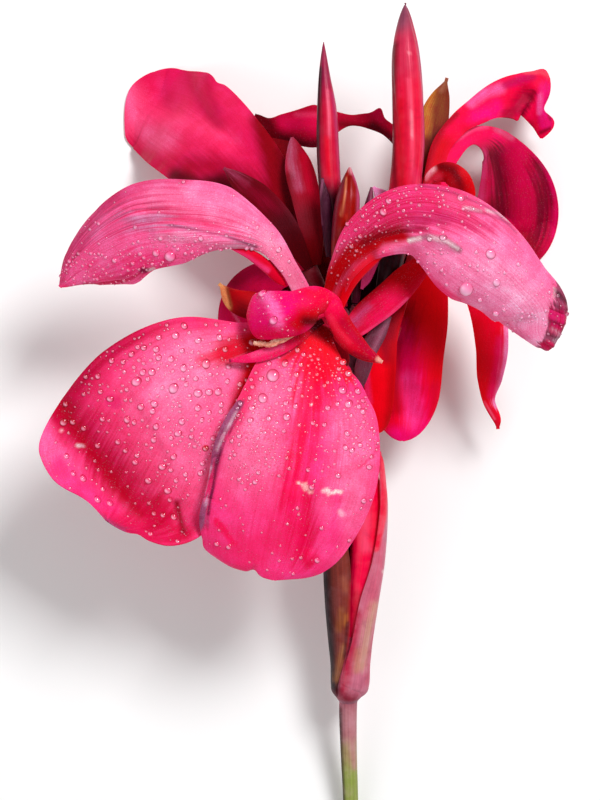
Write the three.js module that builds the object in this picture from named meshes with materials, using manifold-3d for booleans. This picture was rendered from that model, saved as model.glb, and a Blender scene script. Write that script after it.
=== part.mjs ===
// A cut flowering stem of a canna lily, laid on its back on a flat surface.
//
// Millimetres. X runs across the flowers, Y from the cut end to the bud tips, and Z up from the
// surface. The origin is on the surface, below the middle of the whole stem.
// The stem end, the left flower's big staminode and the right flower's broad one touch the surface.
//
// A canna flower is an ovary and a tube that carry, from outside in, three sepals, three narrow
// petals, the showy staminodes with the labellum among them, one petal-like stamen with its anther
// along its edge, and a flat style. Every one of these is a thin blade, and is made by blade().
import * as THREE from "three";
import Module from "manifold-3d";

const PETAL_THICKNESS = 0.8;
const ANTHER_THICKNESS = 1.0;
const BRACT_THICKNESS = 0.8;
const SEPAL_THICKNESS = 0.7;
const LEAST_HALF_WIDTH = 0.5; // a blade's margins stay this far from its midline at both ends
const LEAST_RADIUS = 0.3;
const ROW_CROWDING = 1.5; // rows stand closer together towards a blade's tip
const WAVE_PHASE = 1.3; // between the waves of a blade's two margins, in radians
const TUBE_SIDES = 10;
const STALK_SIDES = 8;
const SURFACE_Z = 0;

const UP = new THREE.Vector3(0, 0, 1);
const radians = THREE.MathUtils.degToRad;

const wasm = await Module();
wasm.setup();

// ---------------------------------------------------------------- curves through stations

// A station is a list of numbers that starts with a point's x, y and z. Every number in it is
// carried along one smooth curve through the stations, by distance along them.
function curveThrough(stations) {
  const knots = [0];
  for (let i = 1; i < stations.length; i += 1) {
    const [a, b] = [stations[i - 1], stations[i]];
    knots.push(knots[i - 1] + Math.hypot(b[0] - a[0], b[1] - a[1], b[2] - a[2]));
  }
  const last = stations.length - 1;
  const length = knots[last];

  function slope(i, column) {
    const before = Math.max(i - 1, 0);
    const after = Math.min(i + 1, last);
    const rise = stations[after][column] - stations[before][column];
    return rise / (knots[after] - knots[before]);
  }

  function at(distance) {
    let i = 0;
    while (i < last - 1 && knots[i + 1] <= distance) i += 1;
    const step = knots[i + 1] - knots[i];
    const s = (distance - knots[i]) / step;
    return stations[i].map((value, column) =>
      (1 + 2 * s) * (1 - s) ** 2 * value
      + s * (1 - s) ** 2 * step * slope(i, column)
      + s * s * (3 - 2 * s) * stations[i + 1][column]
      + s * s * (s - 1) * step * slope(i + 1, column));
  }

  // The frame at a distance: the station there, the way along, the side to the right and the
  // face, which is as near to faceDirection as a right angle allows.
  function frame(distance, faceDirection) {
    const near = length / 1000;
    const station = at(distance);
    const ahead = new THREE.Vector3(...at(Math.min(distance + near, length)));
    const behind = new THREE.Vector3(...at(Math.max(distance - near, 0)));
    const along = ahead.sub(behind).normalize();
    const face = faceDirection.clone().addScaledVector(along, -faceDirection.dot(along)).normalize();
    const right = new THREE.Vector3().crossVectors(along, face);
    return { station, centre: new THREE.Vector3(...station), along, face, right };
  }

  return { length, frame };
}

function geometryOf(points, triangles) {
  const positions = points.flatMap((p) => [p.x, p.y, p.z]);
  const geometry = new THREE.BufferGeometry();
  geometry.setAttribute("position", new THREE.Float32BufferAttribute(positions, 3));
  geometry.setIndex(triangles.flat());
  return geometry;
}

// ---------------------------------------------------------------- blades

// A blade is a petal, staminode, sepal or bract. Each of its stations is
// [x, y, z, left half-width, right half-width, roll, left curl, right curl], with angles in
// degrees. Roll lifts the right side towards the face. Curl is the angle that half the blade
// turns through from midline to margin, towards the face where it is positive.
// blunt is the power that rounds the tip: 3 is a pointed oval and 20 is nearly square.
// wave is [height, waves along the blade], and it grows towards the margins.
function middleSurface(form) {
  const { stations, rows, columns, blunt = 20, wave = [0, 0], facing = UP } = form;
  const curve = curveThrough(stations);
  const grid = [];
  for (let j = 0; j <= rows; j += 1) {
    const u = 1 - (1 - j / rows) ** ROW_CROWDING;
    const { station, centre, face, right } = curve.frame(u * curve.length, facing);
    const [leftWidth, rightWidth, roll, leftCurl, rightCurl] = station.slice(3);
    const side = right.clone().multiplyScalar(Math.cos(radians(roll)))
      .addScaledVector(face, Math.sin(radians(roll)));
    const lift = face.clone().multiplyScalar(Math.cos(radians(roll)))
      .addScaledVector(right, -Math.sin(radians(roll)));
    const taper = Math.sqrt(Math.max(1 - u ** blunt, 0));
    const settle = THREE.MathUtils.clamp((u - 0.2) / 0.3, 0, 1);
    const row = [];
    for (let i = 0; i <= columns; i += 1) {
      const v = -1 + (2 * i) / columns;
      const out = Math.abs(v);
      const width = Math.max((v > 0 ? rightWidth : leftWidth) * taper, LEAST_HALF_WIDTH);
      const curl = radians(v > 0 ? rightCurl : leftCurl);
      const flat = Math.abs(curl) < 0.001;
      const across = flat ? width * out : (width * Math.sin(curl * out)) / curl;
      const rise = flat ? 0 : (width * (1 - Math.cos(curl * out))) / curl;
      const phase = v > 0 ? WAVE_PHASE : 0;
      const ripple = wave[0] * out ** 2.5 * Math.sin(2 * Math.PI * wave[1] * u + phase) * settle;
      row.push(centre.clone().addScaledVector(side, across * Math.sign(v))
        .addScaledVector(lift, rise + ripple));
    }
    grid.push(row);
  }
  return grid;
}

// The unit normals of a grid of points, on its face side.
function normalsOf(grid) {
  const lastRow = grid.length - 1;
  const lastColumn = grid[0].length - 1;
  return grid.map((row, j) => row.map((_, i) => {
    const below = Math.max(j - 1, 0);
    const above = Math.min(j + 1, lastRow);
    const before = Math.max(i - 1, 0);
    const after = Math.min(i + 1, lastColumn);
    const along = grid[above][i].clone().sub(grid[below][i]);
    const across = grid[j][after].clone().sub(grid[j][before]);
    return across.cross(along).normalize();
  }));
}

// Both faces are split into triangles alike, and nothing reaches below the surface: where a blade
// lies on it, its underside is flat and its full thickness is above.
function blade(form) {
  const { rows, columns, thickness = PETAL_THICKNESS } = form;
  const grid = middleSurface(form);
  const normals = normalsOf(grid);
  const facesUp = normals.flat().reduce((sum, n) => sum + n.z, 0) > 0;
  const offset = (half) => grid.flatMap((row, j) => row.map((point, i) => {
    const moved = point.clone().addScaledVector(normals[j][i], half);
    const isUnderside = (half < 0) === facesUp;
    moved.z = Math.max(moved.z, SURFACE_Z + (isUnderside ? 0 : thickness));
    return moved;
  }));
  const points = [...offset(thickness / 2), ...offset(-thickness / 2)];
  const layer = (rows + 1) * (columns + 1);
  const index = (j, i) => j * (columns + 1) + i;
  const triangles = [];
  for (let j = 0; j < rows; j += 1) {
    for (let i = 0; i < columns; i += 1) {
      const [a, b, c, d] = [index(j, i), index(j, i + 1), index(j + 1, i + 1), index(j + 1, i)];
      triangles.push([a, b, c], [a, c, d]);
      triangles.push([a + layer, c + layer, b + layer], [a + layer, d + layer, c + layer]);
    }
  }
  const rim = [];
  for (let i = 0; i < columns; i += 1) rim.push(index(0, i));
  for (let j = 0; j < rows; j += 1) rim.push(index(j, columns));
  for (let i = columns; i > 0; i -= 1) rim.push(index(rows, i));
  for (let j = rows; j > 0; j -= 1) rim.push(index(j, 0));
  rim.forEach((p, k) => {
    const q = rim[(k + 1) % rim.length];
    triangles.push([q, p, p + layer], [q, p + layer, q + layer]);
  });
  return geometryOf(points, triangles);
}

// ---------------------------------------------------------------- round pieces

// A rod is a stem, stalk, flower tube or bud. Each of its stations is [x, y, z, radius].
function rod({ stations, rings, sides = TUBE_SIDES }) {
  const curve = curveThrough(stations);
  const points = [];
  for (let j = 0; j <= rings; j += 1) {
    const { station, centre, face, right } = curve.frame((j / rings) * curve.length, UP);
    const radius = Math.max(station[3], LEAST_RADIUS);
    for (let i = 0; i < sides; i += 1) {
      const turn = (2 * Math.PI * i) / sides;
      const point = centre.clone().addScaledVector(right, radius * Math.cos(turn))
        .addScaledVector(face, radius * Math.sin(turn));
      point.z = Math.max(point.z, SURFACE_Z);
      points.push(point);
    }
  }
  const middleOf = (ring) => ring.reduce((sum, p) => sum.add(p), new THREE.Vector3())
    .divideScalar(sides);
  const foot = points.length;
  const tip = foot + 1;
  const lastRing = rings * sides;
  points.push(middleOf(points.slice(0, sides)), middleOf(points.slice(lastRing, foot)));
  const triangles = [];
  for (let i = 0; i < sides; i += 1) {
    const next = (i + 1) % sides;
    triangles.push([foot, i, next], [tip, lastRing + next, lastRing + i]);
    for (let j = 0; j < rings; j += 1) {
      const [a, b] = [j * sides + i, j * sides + next];
      const [c, d] = [b + sides, a + sides];
      triangles.push([a, c, b], [a, d, c]);
    }
  }
  return geometryOf(points, triangles);
}

// ---------------------------------------------------------------- growing together

// What grew as one piece is joined into one solid.
function grownTogether(geometries) {
  const solids = geometries.map((geometry) => new wasm.Manifold(new wasm.Mesh({
    numProp: 3,
    vertProperties: geometry.getAttribute("position").array,
    triVerts: new Uint32Array(geometry.index.array),
  })));
  const mesh = solids.reduce((whole, solid) => whole.add(solid)).getMesh();
  const geometry = new THREE.BufferGeometry();
  geometry.setAttribute("position", new THREE.Float32BufferAttribute(mesh.vertProperties, 3));
  geometry.setIndex([...mesh.triVerts]);
  return geometry;
}

// Sepals stand round a flower's tube, with their feet sunk into it just above the ovary.
function sepals(tubeStations, { start, length, halfWidth, count = 3, turn = 0 }) {
  const curve = curveThrough(tubeStations);
  const outline = [
    // share of the length, distance out from the tube's wall, share of the half-width
    [0, -0.7, 0.7],
    [0.35, 0.5, 1],
    [0.7, 0.8, 0.8],
    [1, 1.2, 0.3],
  ];
  return Array.from({ length: count }, (_, k) => {
    const angle = radians(turn + (360 * k) / count);
    const foot = curve.frame(start, UP);
    const out = foot.right.clone().multiplyScalar(Math.cos(angle))
      .addScaledVector(foot.face, Math.sin(angle));
    const stations = outline.map(([share, distance, width]) => {
      const { station, centre } = curve.frame(start + share * length, UP);
      const point = centre.addScaledVector(out, station[3] + distance);
      return [...point.toArray(), width * halfWidth, width * halfWidth, 0, -25, -25];
    });
    return blade({
      stations, rows: 5, columns: 2, facing: out, thickness: SEPAL_THICKNESS,
    });
  });
}

function flowerTube(form, calyx) {
  return grownTogether([rod(form), ...sepals(form.stations, calyx)]);
}

// ---------------------------------------------------------------- stem and bracts

// The stem rises a little from its cut end, and carries six short stalks for flowers and buds.
const STEM = {
  rings: 18,
  stations: [
    [11.3, -128.3, 1.9, 2.2],
    [11.3, -117, 1.9, 2.2],
    [11, -102.3, 6, 2.3],
    [10.3, -85.4, 11, 2.5],
    [10.1, -72.8, 15.5, 2.7],
    [10.7, -68.6, 16.6, 2.6],
    [11.5, -53.6, 20, 2.5],
    [13.2, -41.7, 23, 2.5],
    [14.5, -29.8, 26, 2.5],
    [15.3, -15.2, 29.5, 2.4],
    [15, -6.5, 31.5, 2.4],
    [13.8, 7.9, 34, 2.4],
    [12.3, 20.8, 36, 2.3],
    [11.1, 32.2, 37.5, 2.1],
    [10.2, 40.4, 38.5, 1.4],
  ],
};

const STALKS = {
  front_flower: [[12.6, 15.1, 35, 1.4], [10.8, 17.6, 38.5, 1.6], [9.9, 19.1, 40, 1.6]],
  left_flower: [[11.4, 30.8, 37.3, 1.4], [8.7, 35.2, 36.6, 1.4]],
  right_flower: [[12.3, 17.1, 35.3, 1.4], [16, 21.9, 36.2, 1.4]],
  bud_tall: [[11.1, 29.3, 37, 1.4], [14.2, 32.4, 39.3, 1.3], [16.1, 34.4, 40.8, 1.3]],
  bud_thin: [[10.2, 38.7, 38, 1.4], [8.5, 41.8, 40.3, 1.1]],
  bud_small: [[10.5, 38.1, 38, 1.1], [8.7, 41.1, 42, 1.1], [7, 43.3, 44.2, 1.1]],
  bud_tip: [[10.2, 38.7, 38, 1.1], [11.6, 43.2, 41, 1]],
};

// Two big bracts clasp the stem from both sides, and a third stands between them.
const BRACT_RIGHT = {
  rows: 12,
  columns: 8,
  thickness: BRACT_THICKNESS,
  stations: [
    [13.4, -70.8, 17.9, 5.7, 6.3, -60, -88, -100],
    [14.9, -68.3, 19.1, 7.9, 8.8, -60, -92, -100],
    [15.5, -60.8, 20.9, 7.3, 9, -60, -81, -100],
    [16.2, -53.3, 22.8, 6.1, 9.6, -60, -63, -100],
    [17.9, -41.4, 25.8, 5.5, 9.6, -60, -57, -100],
    [19.5, -29.7, 28.9, 3.7, 9.8, -60, -36, -97],
    [20.2, -15.1, 32.4, 2, 8, -60, -20, -80],
    [19.6, -6.4, 34.3, 1.4, 5.2, -60, -15, -54],
    [18.8, 1.7, 36.5, 0.6, 0.6, -60, -5, -5],
  ],
};

const BRACT_LEFT = {
  rows: 11,
  columns: 8,
  thickness: BRACT_THICKNESS,
  stations: [
    [6.8, -70.8, 17.8, 5.9, 0.9, 60, -95, -14],
    [6.3, -68.3, 19.1, 8.2, 0.9, 60, -95, -10],
    [6, -60.8, 20.9, 8.7, 3.2, 60, -95, -35],
    [5.3, -53.3, 22.8, 9.3, 5.8, 60, -95, -60],
    [4.3, -41.5, 25.5, 9.3, 7.2, 60, -95, -75],
    [3.9, -29.7, 28, 8.7, 7.5, 60, -90, -78],
    [4.9, -18.1, 30, 5.8, 4.6, 60, -67, -54],
    [6.9, -9.4, 31.5, 0.6, 0.6, 60, -5, -5],
  ],
};

const INNER_BRACT = {
  rows: 10,
  columns: 6,
  thickness: BRACT_THICKNESS,
  stations: [
    [11.6, -56.8, 22.9, 1.2, 1.2, 0, -17, -17],
    [13.1, -41.3, 26.9, 5.2, 5.2, 0, -76, -76],
    [14.4, -29.6, 29.9, 6.3, 6.3, 0, -93, -93],
    [15.2, -16.5, 33, 6.3, 6.3, 0, -93, -93],
    [15, -5.8, 35.4, 4.3, 4.3, 0, -64, -64],
    [14.5, 2.8, 37, 0.9, 0.9, 0, -13, -13],
  ],
};

// ---------------------------------------------------------------- front flower

const FRONT_TUBE = {
  rings: 8,
  stations: [
    [9.8, 19.4, 40.9, 1.7],
    [8.2, 23, 43.5, 2.7],
    [5.9, 27.2, 46.3, 2.4],
    [3.9, 31.4, 48.4, 2.1],
    [2.4, 35.3, 50, 2.5],
    [1, 40.2, 52, 2.8],
  ],
};
const FRONT_CALYX = { start: 6, length: 9, halfWidth: 1.7, turn: 20 };

// It lies half under the labellum, and its far margin flares up.
const FRONT_STAMINODE_LOWER = {
  rows: 13,
  columns: 8,
  blunt: 14,
  wave: [1, 2.2],
  stations: [
    [-0.6, 35.6, 51.6, 2.2, 2.5, 0, 0, 0],
    [-9, 32.7, 53.5, 4.5, 5.6, 3, 0, -5],
    [-17.9, 29.8, 55.5, 7.8, 8.9, 6, -5, -10],
    [-30.3, 23.4, 58, 15.5, 18.6, 8, -5, -12],
    [-41.3, 13.2, 59, 22.7, 24.2, 8, -5, -8],
    [-48.4, 1.2, 56.5, 26.1, 26.7, 6, 0, 0],
    [-53.8, -9.1, 54, 27.6, 27.7, 4, 5, 5],
    [-57.9, -17.9, 57.2, 26.9, 24.7, 2, 10, 10],
  ],
};

const FRONT_LABELLUM = {
  rows: 13,
  columns: 8,
  blunt: 14,
  wave: [0.8, 2.5],
  stations: [
    [1.6, 37.4, 54.6, 2.5, 2.5, 0, 0, 0],
    [-0.4, 30.9, 57, 7.8, 8.3, 0, 0, 0],
    [-1.8, 25.4, 58.5, 13.3, 13.8, 0, 0, 0],
    [-2.6, 18.7, 60.5, 17.7, 17.1, 0, -10, -8],
    [-3.2, 11, 62, 21.2, 20.6, 0, -12, -8],
    [-4.8, 0, 63, 23.1, 23.4, 0, -15, -10],
    [-7, -11, 62, 22.4, 23.4, 0, -15, -15],
    [-9.2, -22.2, 59.5, 19.6, 24.8, 0, -20, -20],
    [-11.5, -33.7, 56, 16.2, 25.8, 0, -25, -25],
  ],
};

// The two upper staminodes arch up from the throat and bend back along a crest.
const FRONT_STAMINODE_UPPER_LEFT = {
  rows: 13,
  columns: 8,
  stations: [
    [-0.6, 40.7, 51.2, 2, 2, 0, 0, 0],
    [-3.7, 47.2, 53, 2.5, 2.5, 0, 0, 0],
    [-7.3, 53.4, 55.5, 2.5, 2.6, 0, 0, 10],
    [-14.2, 59.9, 59, 2.8, 5.8, 0, -40, -10],
    [-24.6, 62.7, 63, 5.8, 12.6, 0, -60, -20],
    [-35.5, 63.6, 65, 10.4, 13.9, 0, -50, -25],
    [-48, 63.3, 62, 12.3, 13.8, 0, -40, -30],
    [-58.3, 59.7, 57, 14.4, 10, 0, -40, -35],
    [-66.6, 54, 51, 9.5, 5.6, 0, -40, -40],
    [-71.5, 48.3, 47, 2.2, 1.4, 0, -30, -30],
  ],
};

const FRONT_STAMINODE_UPPER_RIGHT = {
  rows: 13,
  columns: 8,
  stations: [
    [3.8, 41.5, 51.8, 2, 2, 0, 0, 0],
    [5.7, 47.1, 54, 3.1, 3.1, 0, 20, 20],
    [8.2, 53.1, 57.5, 4.2, 3.9, 0, 20, 20],
    [14.7, 61.1, 62.5, 7.2, 6.6, 0, 10, -10],
    [25.5, 65.7, 66, 9.8, 10.9, 0, -20, -45],
    [37.5, 63.5, 67, 11.5, 16.4, 0, -35, -50],
    [49.5, 56.6, 64, 10.4, 18.7, 0, -40, -50],
    [59.1, 48.1, 58, 7.8, 15.8, 0, -40, -55],
    [64.8, 41, 52.5, 7.2, 14.8, 0, -40, -55],
    [65.6, 30.4, 47, 3.2, 8.4, 0, -45, -50],
  ],
};

// The petal-like stamen rolls over the throat like a hood.
const FRONT_STAMEN = {
  rows: 12,
  columns: 6,
  stations: [
    [4.2, 38.6, 53.4, 1.1, 1.1, 0, 0, 0],
    [5.6, 40.2, 57, 2.4, 2.2, 0, 0, 0],
    [4.9, 42.9, 62, 3, 2.6, 0, -20, -20],
    [0.6, 43.6, 66.5, 4.8, 4.6, 0, -40, -40],
    [-5.6, 40.8, 68.5, 7.7, 6.5, 0, -60, -50],
    [-12.7, 39.7, 67.5, 7.8, 7.4, 0, -60, -50],
    [-18.6, 39.7, 62, 6.4, 6.6, 0, -35, -30],
  ],
};

const FRONT_ANTHER = {
  rows: 6,
  columns: 2,
  thickness: ANTHER_THICKNESS,
  stations: [
    [-4.6, 35.2, 63, 0.5, 0.5, 0, 0, 0],
    [-7.6, 33.4, 62.8, 0.5, 0.6, 0, 0, 0],
    [-10.6, 32.2, 62.4, 0.8, 0.9, 0, 0, 0],
    [-13.8, 31.8, 61.6, 0.8, 0.7, 0, 0, 0],
    [-16.8, 32.2, 60.8, 0.5, 0.5, 0, 0, 0],
  ],
};

// A narrow free edge of the stamen runs on below the anther.
const FRONT_STAMEN_LOBE = {
  rows: 8,
  columns: 2,
  stations: [
    [2.4, 38.4, 55.9, 0.8, 0.8, 0, 0, 0],
    [-0.9, 36.5, 56.6, 1.1, 1.1, 0, 0, 0],
    [-4.6, 33.4, 59, 1.4, 1.4, 0, 0, 0],
    [-9, 30.9, 59.8, 1.7, 1.7, 0, 0, 0],
    [-14.5, 28.9, 59.9, 1.7, 1.7, 0, 0, 0],
    [-19.7, 27.8, 59.6, 1.1, 1.1, 0, 0, 0],
    [-23.6, 27.3, 59.3, 0.5, 0.5, 0, 0, 0],
  ],
};

const FRONT_STYLE = {
  rows: 8,
  columns: 4,
  stations: [
    [4.8, 35.8, 52.4, 1, 1, 0, 0, 0],
    [5.6, 36.4, 56, 0.9, 2.4, 0, 0, 0],
    [7, 35.8, 59.6, 3, 2.8, 0, -20, -20],
    [10, 32.6, 60.2, 2.9, 2.9, 0, -20, -20],
    [13.6, 29.6, 59.2, 2.4, 2.2, 0, -20, -20],
    [18.8, 27, 57.2, 0.7, 0.7, 0, 0, 0],
  ],
};

const FRONT_PETAL_RIGHT = {
  rows: 8,
  columns: 4,
  stations: [
    [5.3, 35.4, 49, 1.4, 1.4, 0, 0, 0],
    [10.6, 36.7, 48.5, 3.1, 3.1, 0, 0, 0],
    [15.1, 40.4, 48.5, 4.2, 3.9, 0, -15, -15],
    [21.2, 45.4, 49, 4.5, 4.2, 0, -20, -20],
    [27.4, 51.6, 48.5, 3.9, 3.6, 0, -20, -20],
    [34.3, 58.2, 46, 1.1, 1.1, 0, 0, 0],
  ],
};

const FRONT_PETAL_LEFT = {
  rows: 8,
  columns: 4,
  stations: [
    [-0.9, 38.9, 49.1, 1.4, 1.4, 0, 0, 0],
    [-7.4, 40.3, 50, 2.2, 3.4, 0, 0, -10],
    [-12.9, 41.4, 51.5, 2.5, 3.9, 0, -10, -20],
    [-18.5, 43, 52, 3.9, 4.2, 0, -20, -20],
    [-23, 45.6, 51, 3.6, 2.5, 0, -20, -20],
    [-26.7, 49.1, 48, 0.6, 0.6, 0, 0, 0],
  ],
};

const FRONT_PETAL_BACK = {
  rows: 8,
  columns: 4,
  stations: [
    [0.4, 32.4, 47, 1.1, 1.1, 0, 0, 0],
    [-1.7, 22.7, 46.5, 3.1, 3.1, 0, -10, -10],
    [-2.3, 10.9, 47, 3.7, 3.7, 0, -20, -20],
    [-3.2, 1, 46, 2.5, 2.5, 0, -20, -20],
    [-3.7, -6.7, 44, 0.6, 0.6, 0, 0, 0],
  ],
};

// ---------------------------------------------------------------- left flower

const LEFT_TUBE = {
  rings: 8,
  stations: [
    [8.4, 35.8, 36.5, 1.5],
    [5.4, 39.2, 34.4, 2.2],
    [3.4, 43.7, 35.1, 2.3],
    [1.7, 48.2, 36.3, 2],
    [-1.4, 53.9, 37, 2.6],
  ],
};
const LEFT_CALYX = { start: 7, length: 9, halfWidth: 1.7, turn: 90 };

// Its outer end lies flat on the surface.
const LEFT_STAMINODE = {
  rows: 14,
  columns: 8,
  blunt: 12,
  stations: [
    [-2, 54.2, 36.7, 1.7, 1.7, 0, 0, 0],
    [-8.3, 65.1, 36, 7.4, 6.9, 0, 10, 10],
    [-16.9, 77.7, 32, 13.2, 11.5, 0, 10, 10],
    [-26.6, 89, 25, 16.2, 13.6, 0, 0, 0],
    [-37, 98.9, 14, 17.4, 15, 0, -3, -3],
    [-45.8, 104.9, 2, 17.4, 13.7, 0, 0, 0],
    [-51.1, 107.4, -0.4, 18.9, 12.3, 0, 0, 0],
    [-55.3, 109.2, -0.4, 15, 9.6, 0, 0, 0],
  ],
};

const LEFT_LABELLUM = {
  rows: 8,
  columns: 6,
  blunt: 5,
  stations: [
    [-3.6, 52.1, 35.3, 1.7, 1.7, 0, 0, 0],
    [-11.2, 51.7, 34.5, 4.6, 5.2, 0, -10, -10],
    [-18.9, 46.4, 32, 8, 6.9, 0, -20, -20],
    [-21.9, 36.7, 28, 8.7, 6.4, 0, -20, -20],
    [-20.9, 25.8, 22, 4.1, 4.1, 0, -10, -10],
  ],
};

const LEFT_PETAL_UPPER = {
  rows: 8,
  columns: 4,
  blunt: 8,
  stations: [
    [0.6, 55, 38.8, 1.4, 1.4, 0, 0, 0],
    [-0.3, 63.3, 40.5, 3.4, 3.1, 0, 20, 20],
    [-2, 73.3, 39.5, 4.3, 4, 0, 20, 20],
    [-4.3, 83.6, 36, 4.6, 4.1, 0, 20, 20],
    [-6.3, 91.8, 32.8, 2.4, 2.2, 0, 0, 0],
  ],
};

const LEFT_PETAL_SIDE = {
  rows: 8,
  columns: 4,
  stations: [
    [-1.4, 54, 39.9, 1.4, 1.4, 0, 0, 0],
    [-8.2, 65.1, 43, 3.7, 3.7, 0, 0, 0],
    [-15.3, 73.8, 41, 4.3, 3.7, 0, 0, 0],
    [-21.1, 79.2, 37, 3.1, 2.3, 0, 0, 0],
    [-25.8, 82.9, 34, 0.6, 0.6, 0, 0, 0],
  ],
};

// ---------------------------------------------------------------- right flower

const RIGHT_TUBE = {
  rings: 9,
  stations: [
    [16.3, 22.3, 36.3, 1.7],
    [17.8, 25.8, 36.8, 2.4],
    [19.7, 31, 37.2, 2.3],
    [23.4, 40.5, 37, 2],
    [27.7, 54.2, 35.2, 2],
    [30.7, 63.5, 34, 2.9],
  ],
};
const RIGHT_CALYX = { start: 8, length: 9, halfWidth: 1.7, turn: 50 };

const RIGHT_STAMINODE_ARCHING = {
  rows: 15,
  columns: 4,
  stations: [
    [28, 64.7, 35, 1.1, 1.1, 0, 0, 0],
    [28.5, 76.7, 33.5, 2.6, 2.6, 0, 10, 10],
    [27.2, 87.6, 30.5, 2.5, 2.4, 0, 10, 10],
    [22, 94.1, 28.5, 2.1, 2, 0, 0, 0],
    [16.5, 97, 27, 2.2, 2.3, 0, 0, 0],
    [10.8, 97.5, 26, 1.6, 1.6, 0, 0, 0],
    [7, 97.2, 25, 2.8, 3, 0, 0, 0],
    [1.2, 96.1, 23.5, 6, 6.2, 0, 0, 0],
    [-4, 96.1, 22, 5.6, 5.4, 0, 0, 0],
    [-9.8, 97.2, 20, 5.2, 3, 0, 0, 0],
    [-13.4, 98.2, 18.6, 4, 1, 0, 0, 0],
    [-17.2, 100, 17, 2.4, 1.4, 0, 0, 0],
  ],
};

const RIGHT_STAMINODE_CURLED = {
  rows: 14,
  columns: 4,
  stations: [
    [30.6, 64.3, 36, 1.4, 1.4, 0, 0, 0],
    [34, 79.5, 34, 2.6, 2.6, 0, 0, 0],
    [36.6, 89.4, 31, 2.8, 2.8, 0, 0, 0],
    [42.2, 96.6, 27, 3.2, 3.2, 0, 0, 0],
    [47.4, 100.4, 23.5, 4, 4, 0, 0, 0],
    [53.4, 104.6, 20, 4.6, 5.8, 0, 0, 0],
    [59, 106.3, 17.5, 5.6, 8, 0, 0, 0],
    [63.8, 105.2, 15.5, 7.4, 7, 0, 0, 0],
    [66, 101.6, 14.5, 2, 5, -10, 0, 0],
    [67.3, 97.6, 13.5, 4.6, 3.8, -20, 0, 0],
    [67.2, 93.6, 13, 2.6, 2, -20, 0, 0],
  ],
};

// Its margins touch the surface where it comes down.
const RIGHT_STAMINODE_BROAD = {
  rows: 13,
  columns: 6,
  blunt: 12,
  stations: [
    [33.4, 63.3, 34, 1.4, 1.4, 0, 0, 0],
    [35.7, 78.3, 31, 2.6, 2.9, 0, 0, 0],
    [39.9, 87.5, 28, 3.2, 2.5, 0, 0, 0],
    [46.5, 92.6, 24, 3.2, 2, 0, 0, 0],
    [54.3, 90.4, 17, 5.4, 6.3, 0, -10, -10],
    [60.7, 78.3, 7.5, 11, 12.4, 0, -8, -8],
    [60.7, 65.9, 0.1, 11.8, 11.4, 0, -5, -5],
    [55, 51.5, 0.2, 4.8, 4.8, 0, -5, -5],
  ],
};

const RIGHT_LABELLUM = {
  rows: 10,
  columns: 6,
  blunt: 8,
  stations: [
    [31.2, 62, 30.8, 1.7, 1.7, 0, 0, 0],
    [32, 54, 29, 5.8, 5.2, 0, -10, -10],
    [30.1, 41, 28, 9, 9.8, 0, -20, -20],
    [26.9, 28.1, 27, 11, 11, 0, -25, -25],
    [25.9, 16.5, 25, 11.6, 10.4, 0, -25, -25],
    [25.7, 4.6, 22, 10.5, 8.7, 0, -20, -20],
  ],
};

const RIGHT_STAMINODE_HANGING = {
  rows: 10,
  columns: 4,
  stations: [
    [33.6, 61.2, 31.8, 1.4, 1.4, 0, 0, 0],
    [43.6, 55.4, 29, 4, 4, 0, 0, 0],
    [49.9, 44, 26, 5.2, 5.2, 0, -15, -15],
    [51.8, 32.5, 24, 4.9, 4.9, 0, -25, -25],
    [51.4, 22.9, 21, 3.8, 3.8, 0, -25, -25],
    [51.3, 16.5, 19, 1.8, 2, 0, -20, -20],
    [53.7, 10.6, 18, 1.5, 1.5, 0, -10, -10],
    [54, 8, 17.5, 0.9, 0.9, 0, -10, -10],
  ],
};

const RIGHT_STAMEN = {
  rows: 9,
  columns: 4,
  blunt: 16,
  stations: [
    [32.1, 63.7, 37, 1.1, 1.1, 0, 0, 0],
    [39.4, 68.7, 41, 3.1, 2, 0, 0, 0],
    [43.2, 73.9, 43, 4.2, 2.3, 0, 0, 0],
    [41.7, 79.2, 44, 4.5, 2.3, 0, 0, 0],
    [37.6, 81.4, 43.4, 3.6, 2.4, 0, 0, 0],
    [33.2, 79.8, 42, 2.4, 1.8, 0, 0, 0],
    [31.6, 76.6, 41, 0.9, 0.9, 0, 0, 0],
  ],
};

const RIGHT_PETAL_TAN = {
  rows: 8,
  columns: 4,
  blunt: 16,
  stations: [
    [30.7, 63.5, 30.8, 1.2, 1.2, 0, 0, 0],
    [33, 82.4, 27, 3.5, 3.5, 0, 0, 0],
    [34.6, 95.4, 24.5, 5, 4.6, 0, 0, 0],
    [37.4, 105, 22, 4.4, 3.2, 0, 0, 0],
    [38.9, 110.5, 20, 0.6, 0.6, 0, 0, 0],
  ],
};

const RIGHT_PETAL_PINK = {
  rows: 6,
  columns: 4,
  blunt: 8,
  stations: [
    [28.9, 63.5, 37.2, 1.1, 1.1, 0, 0, 0],
    [24.2, 67.2, 38.5, 3.4, 3.4, 0, 0, 0],
    [20.5, 72.9, 38.5, 3.1, 3.1, 0, 0, 0],
    [16.8, 77.1, 39, 0.9, 0.9, 0, 0, 0],
  ],
};

// ---------------------------------------------------------------- buds

const BUD_TALL = {
  rings: 14,
  stations: [
    [16.7, 35.2, 41.5, 1.7],
    [20.6, 49.8, 43.5, 3.1],
    [24.7, 71.5, 45.5, 4.2],
    [26.5, 86.9, 46.5, 4.5],
    [26.3, 102.3, 46.5, 4.4],
    [25.7, 115, 46.5, 3.8],
    [25.6, 123.5, 46, 2],
    [25.6, 128.3, 46, 0.3],
  ],
};

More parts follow.
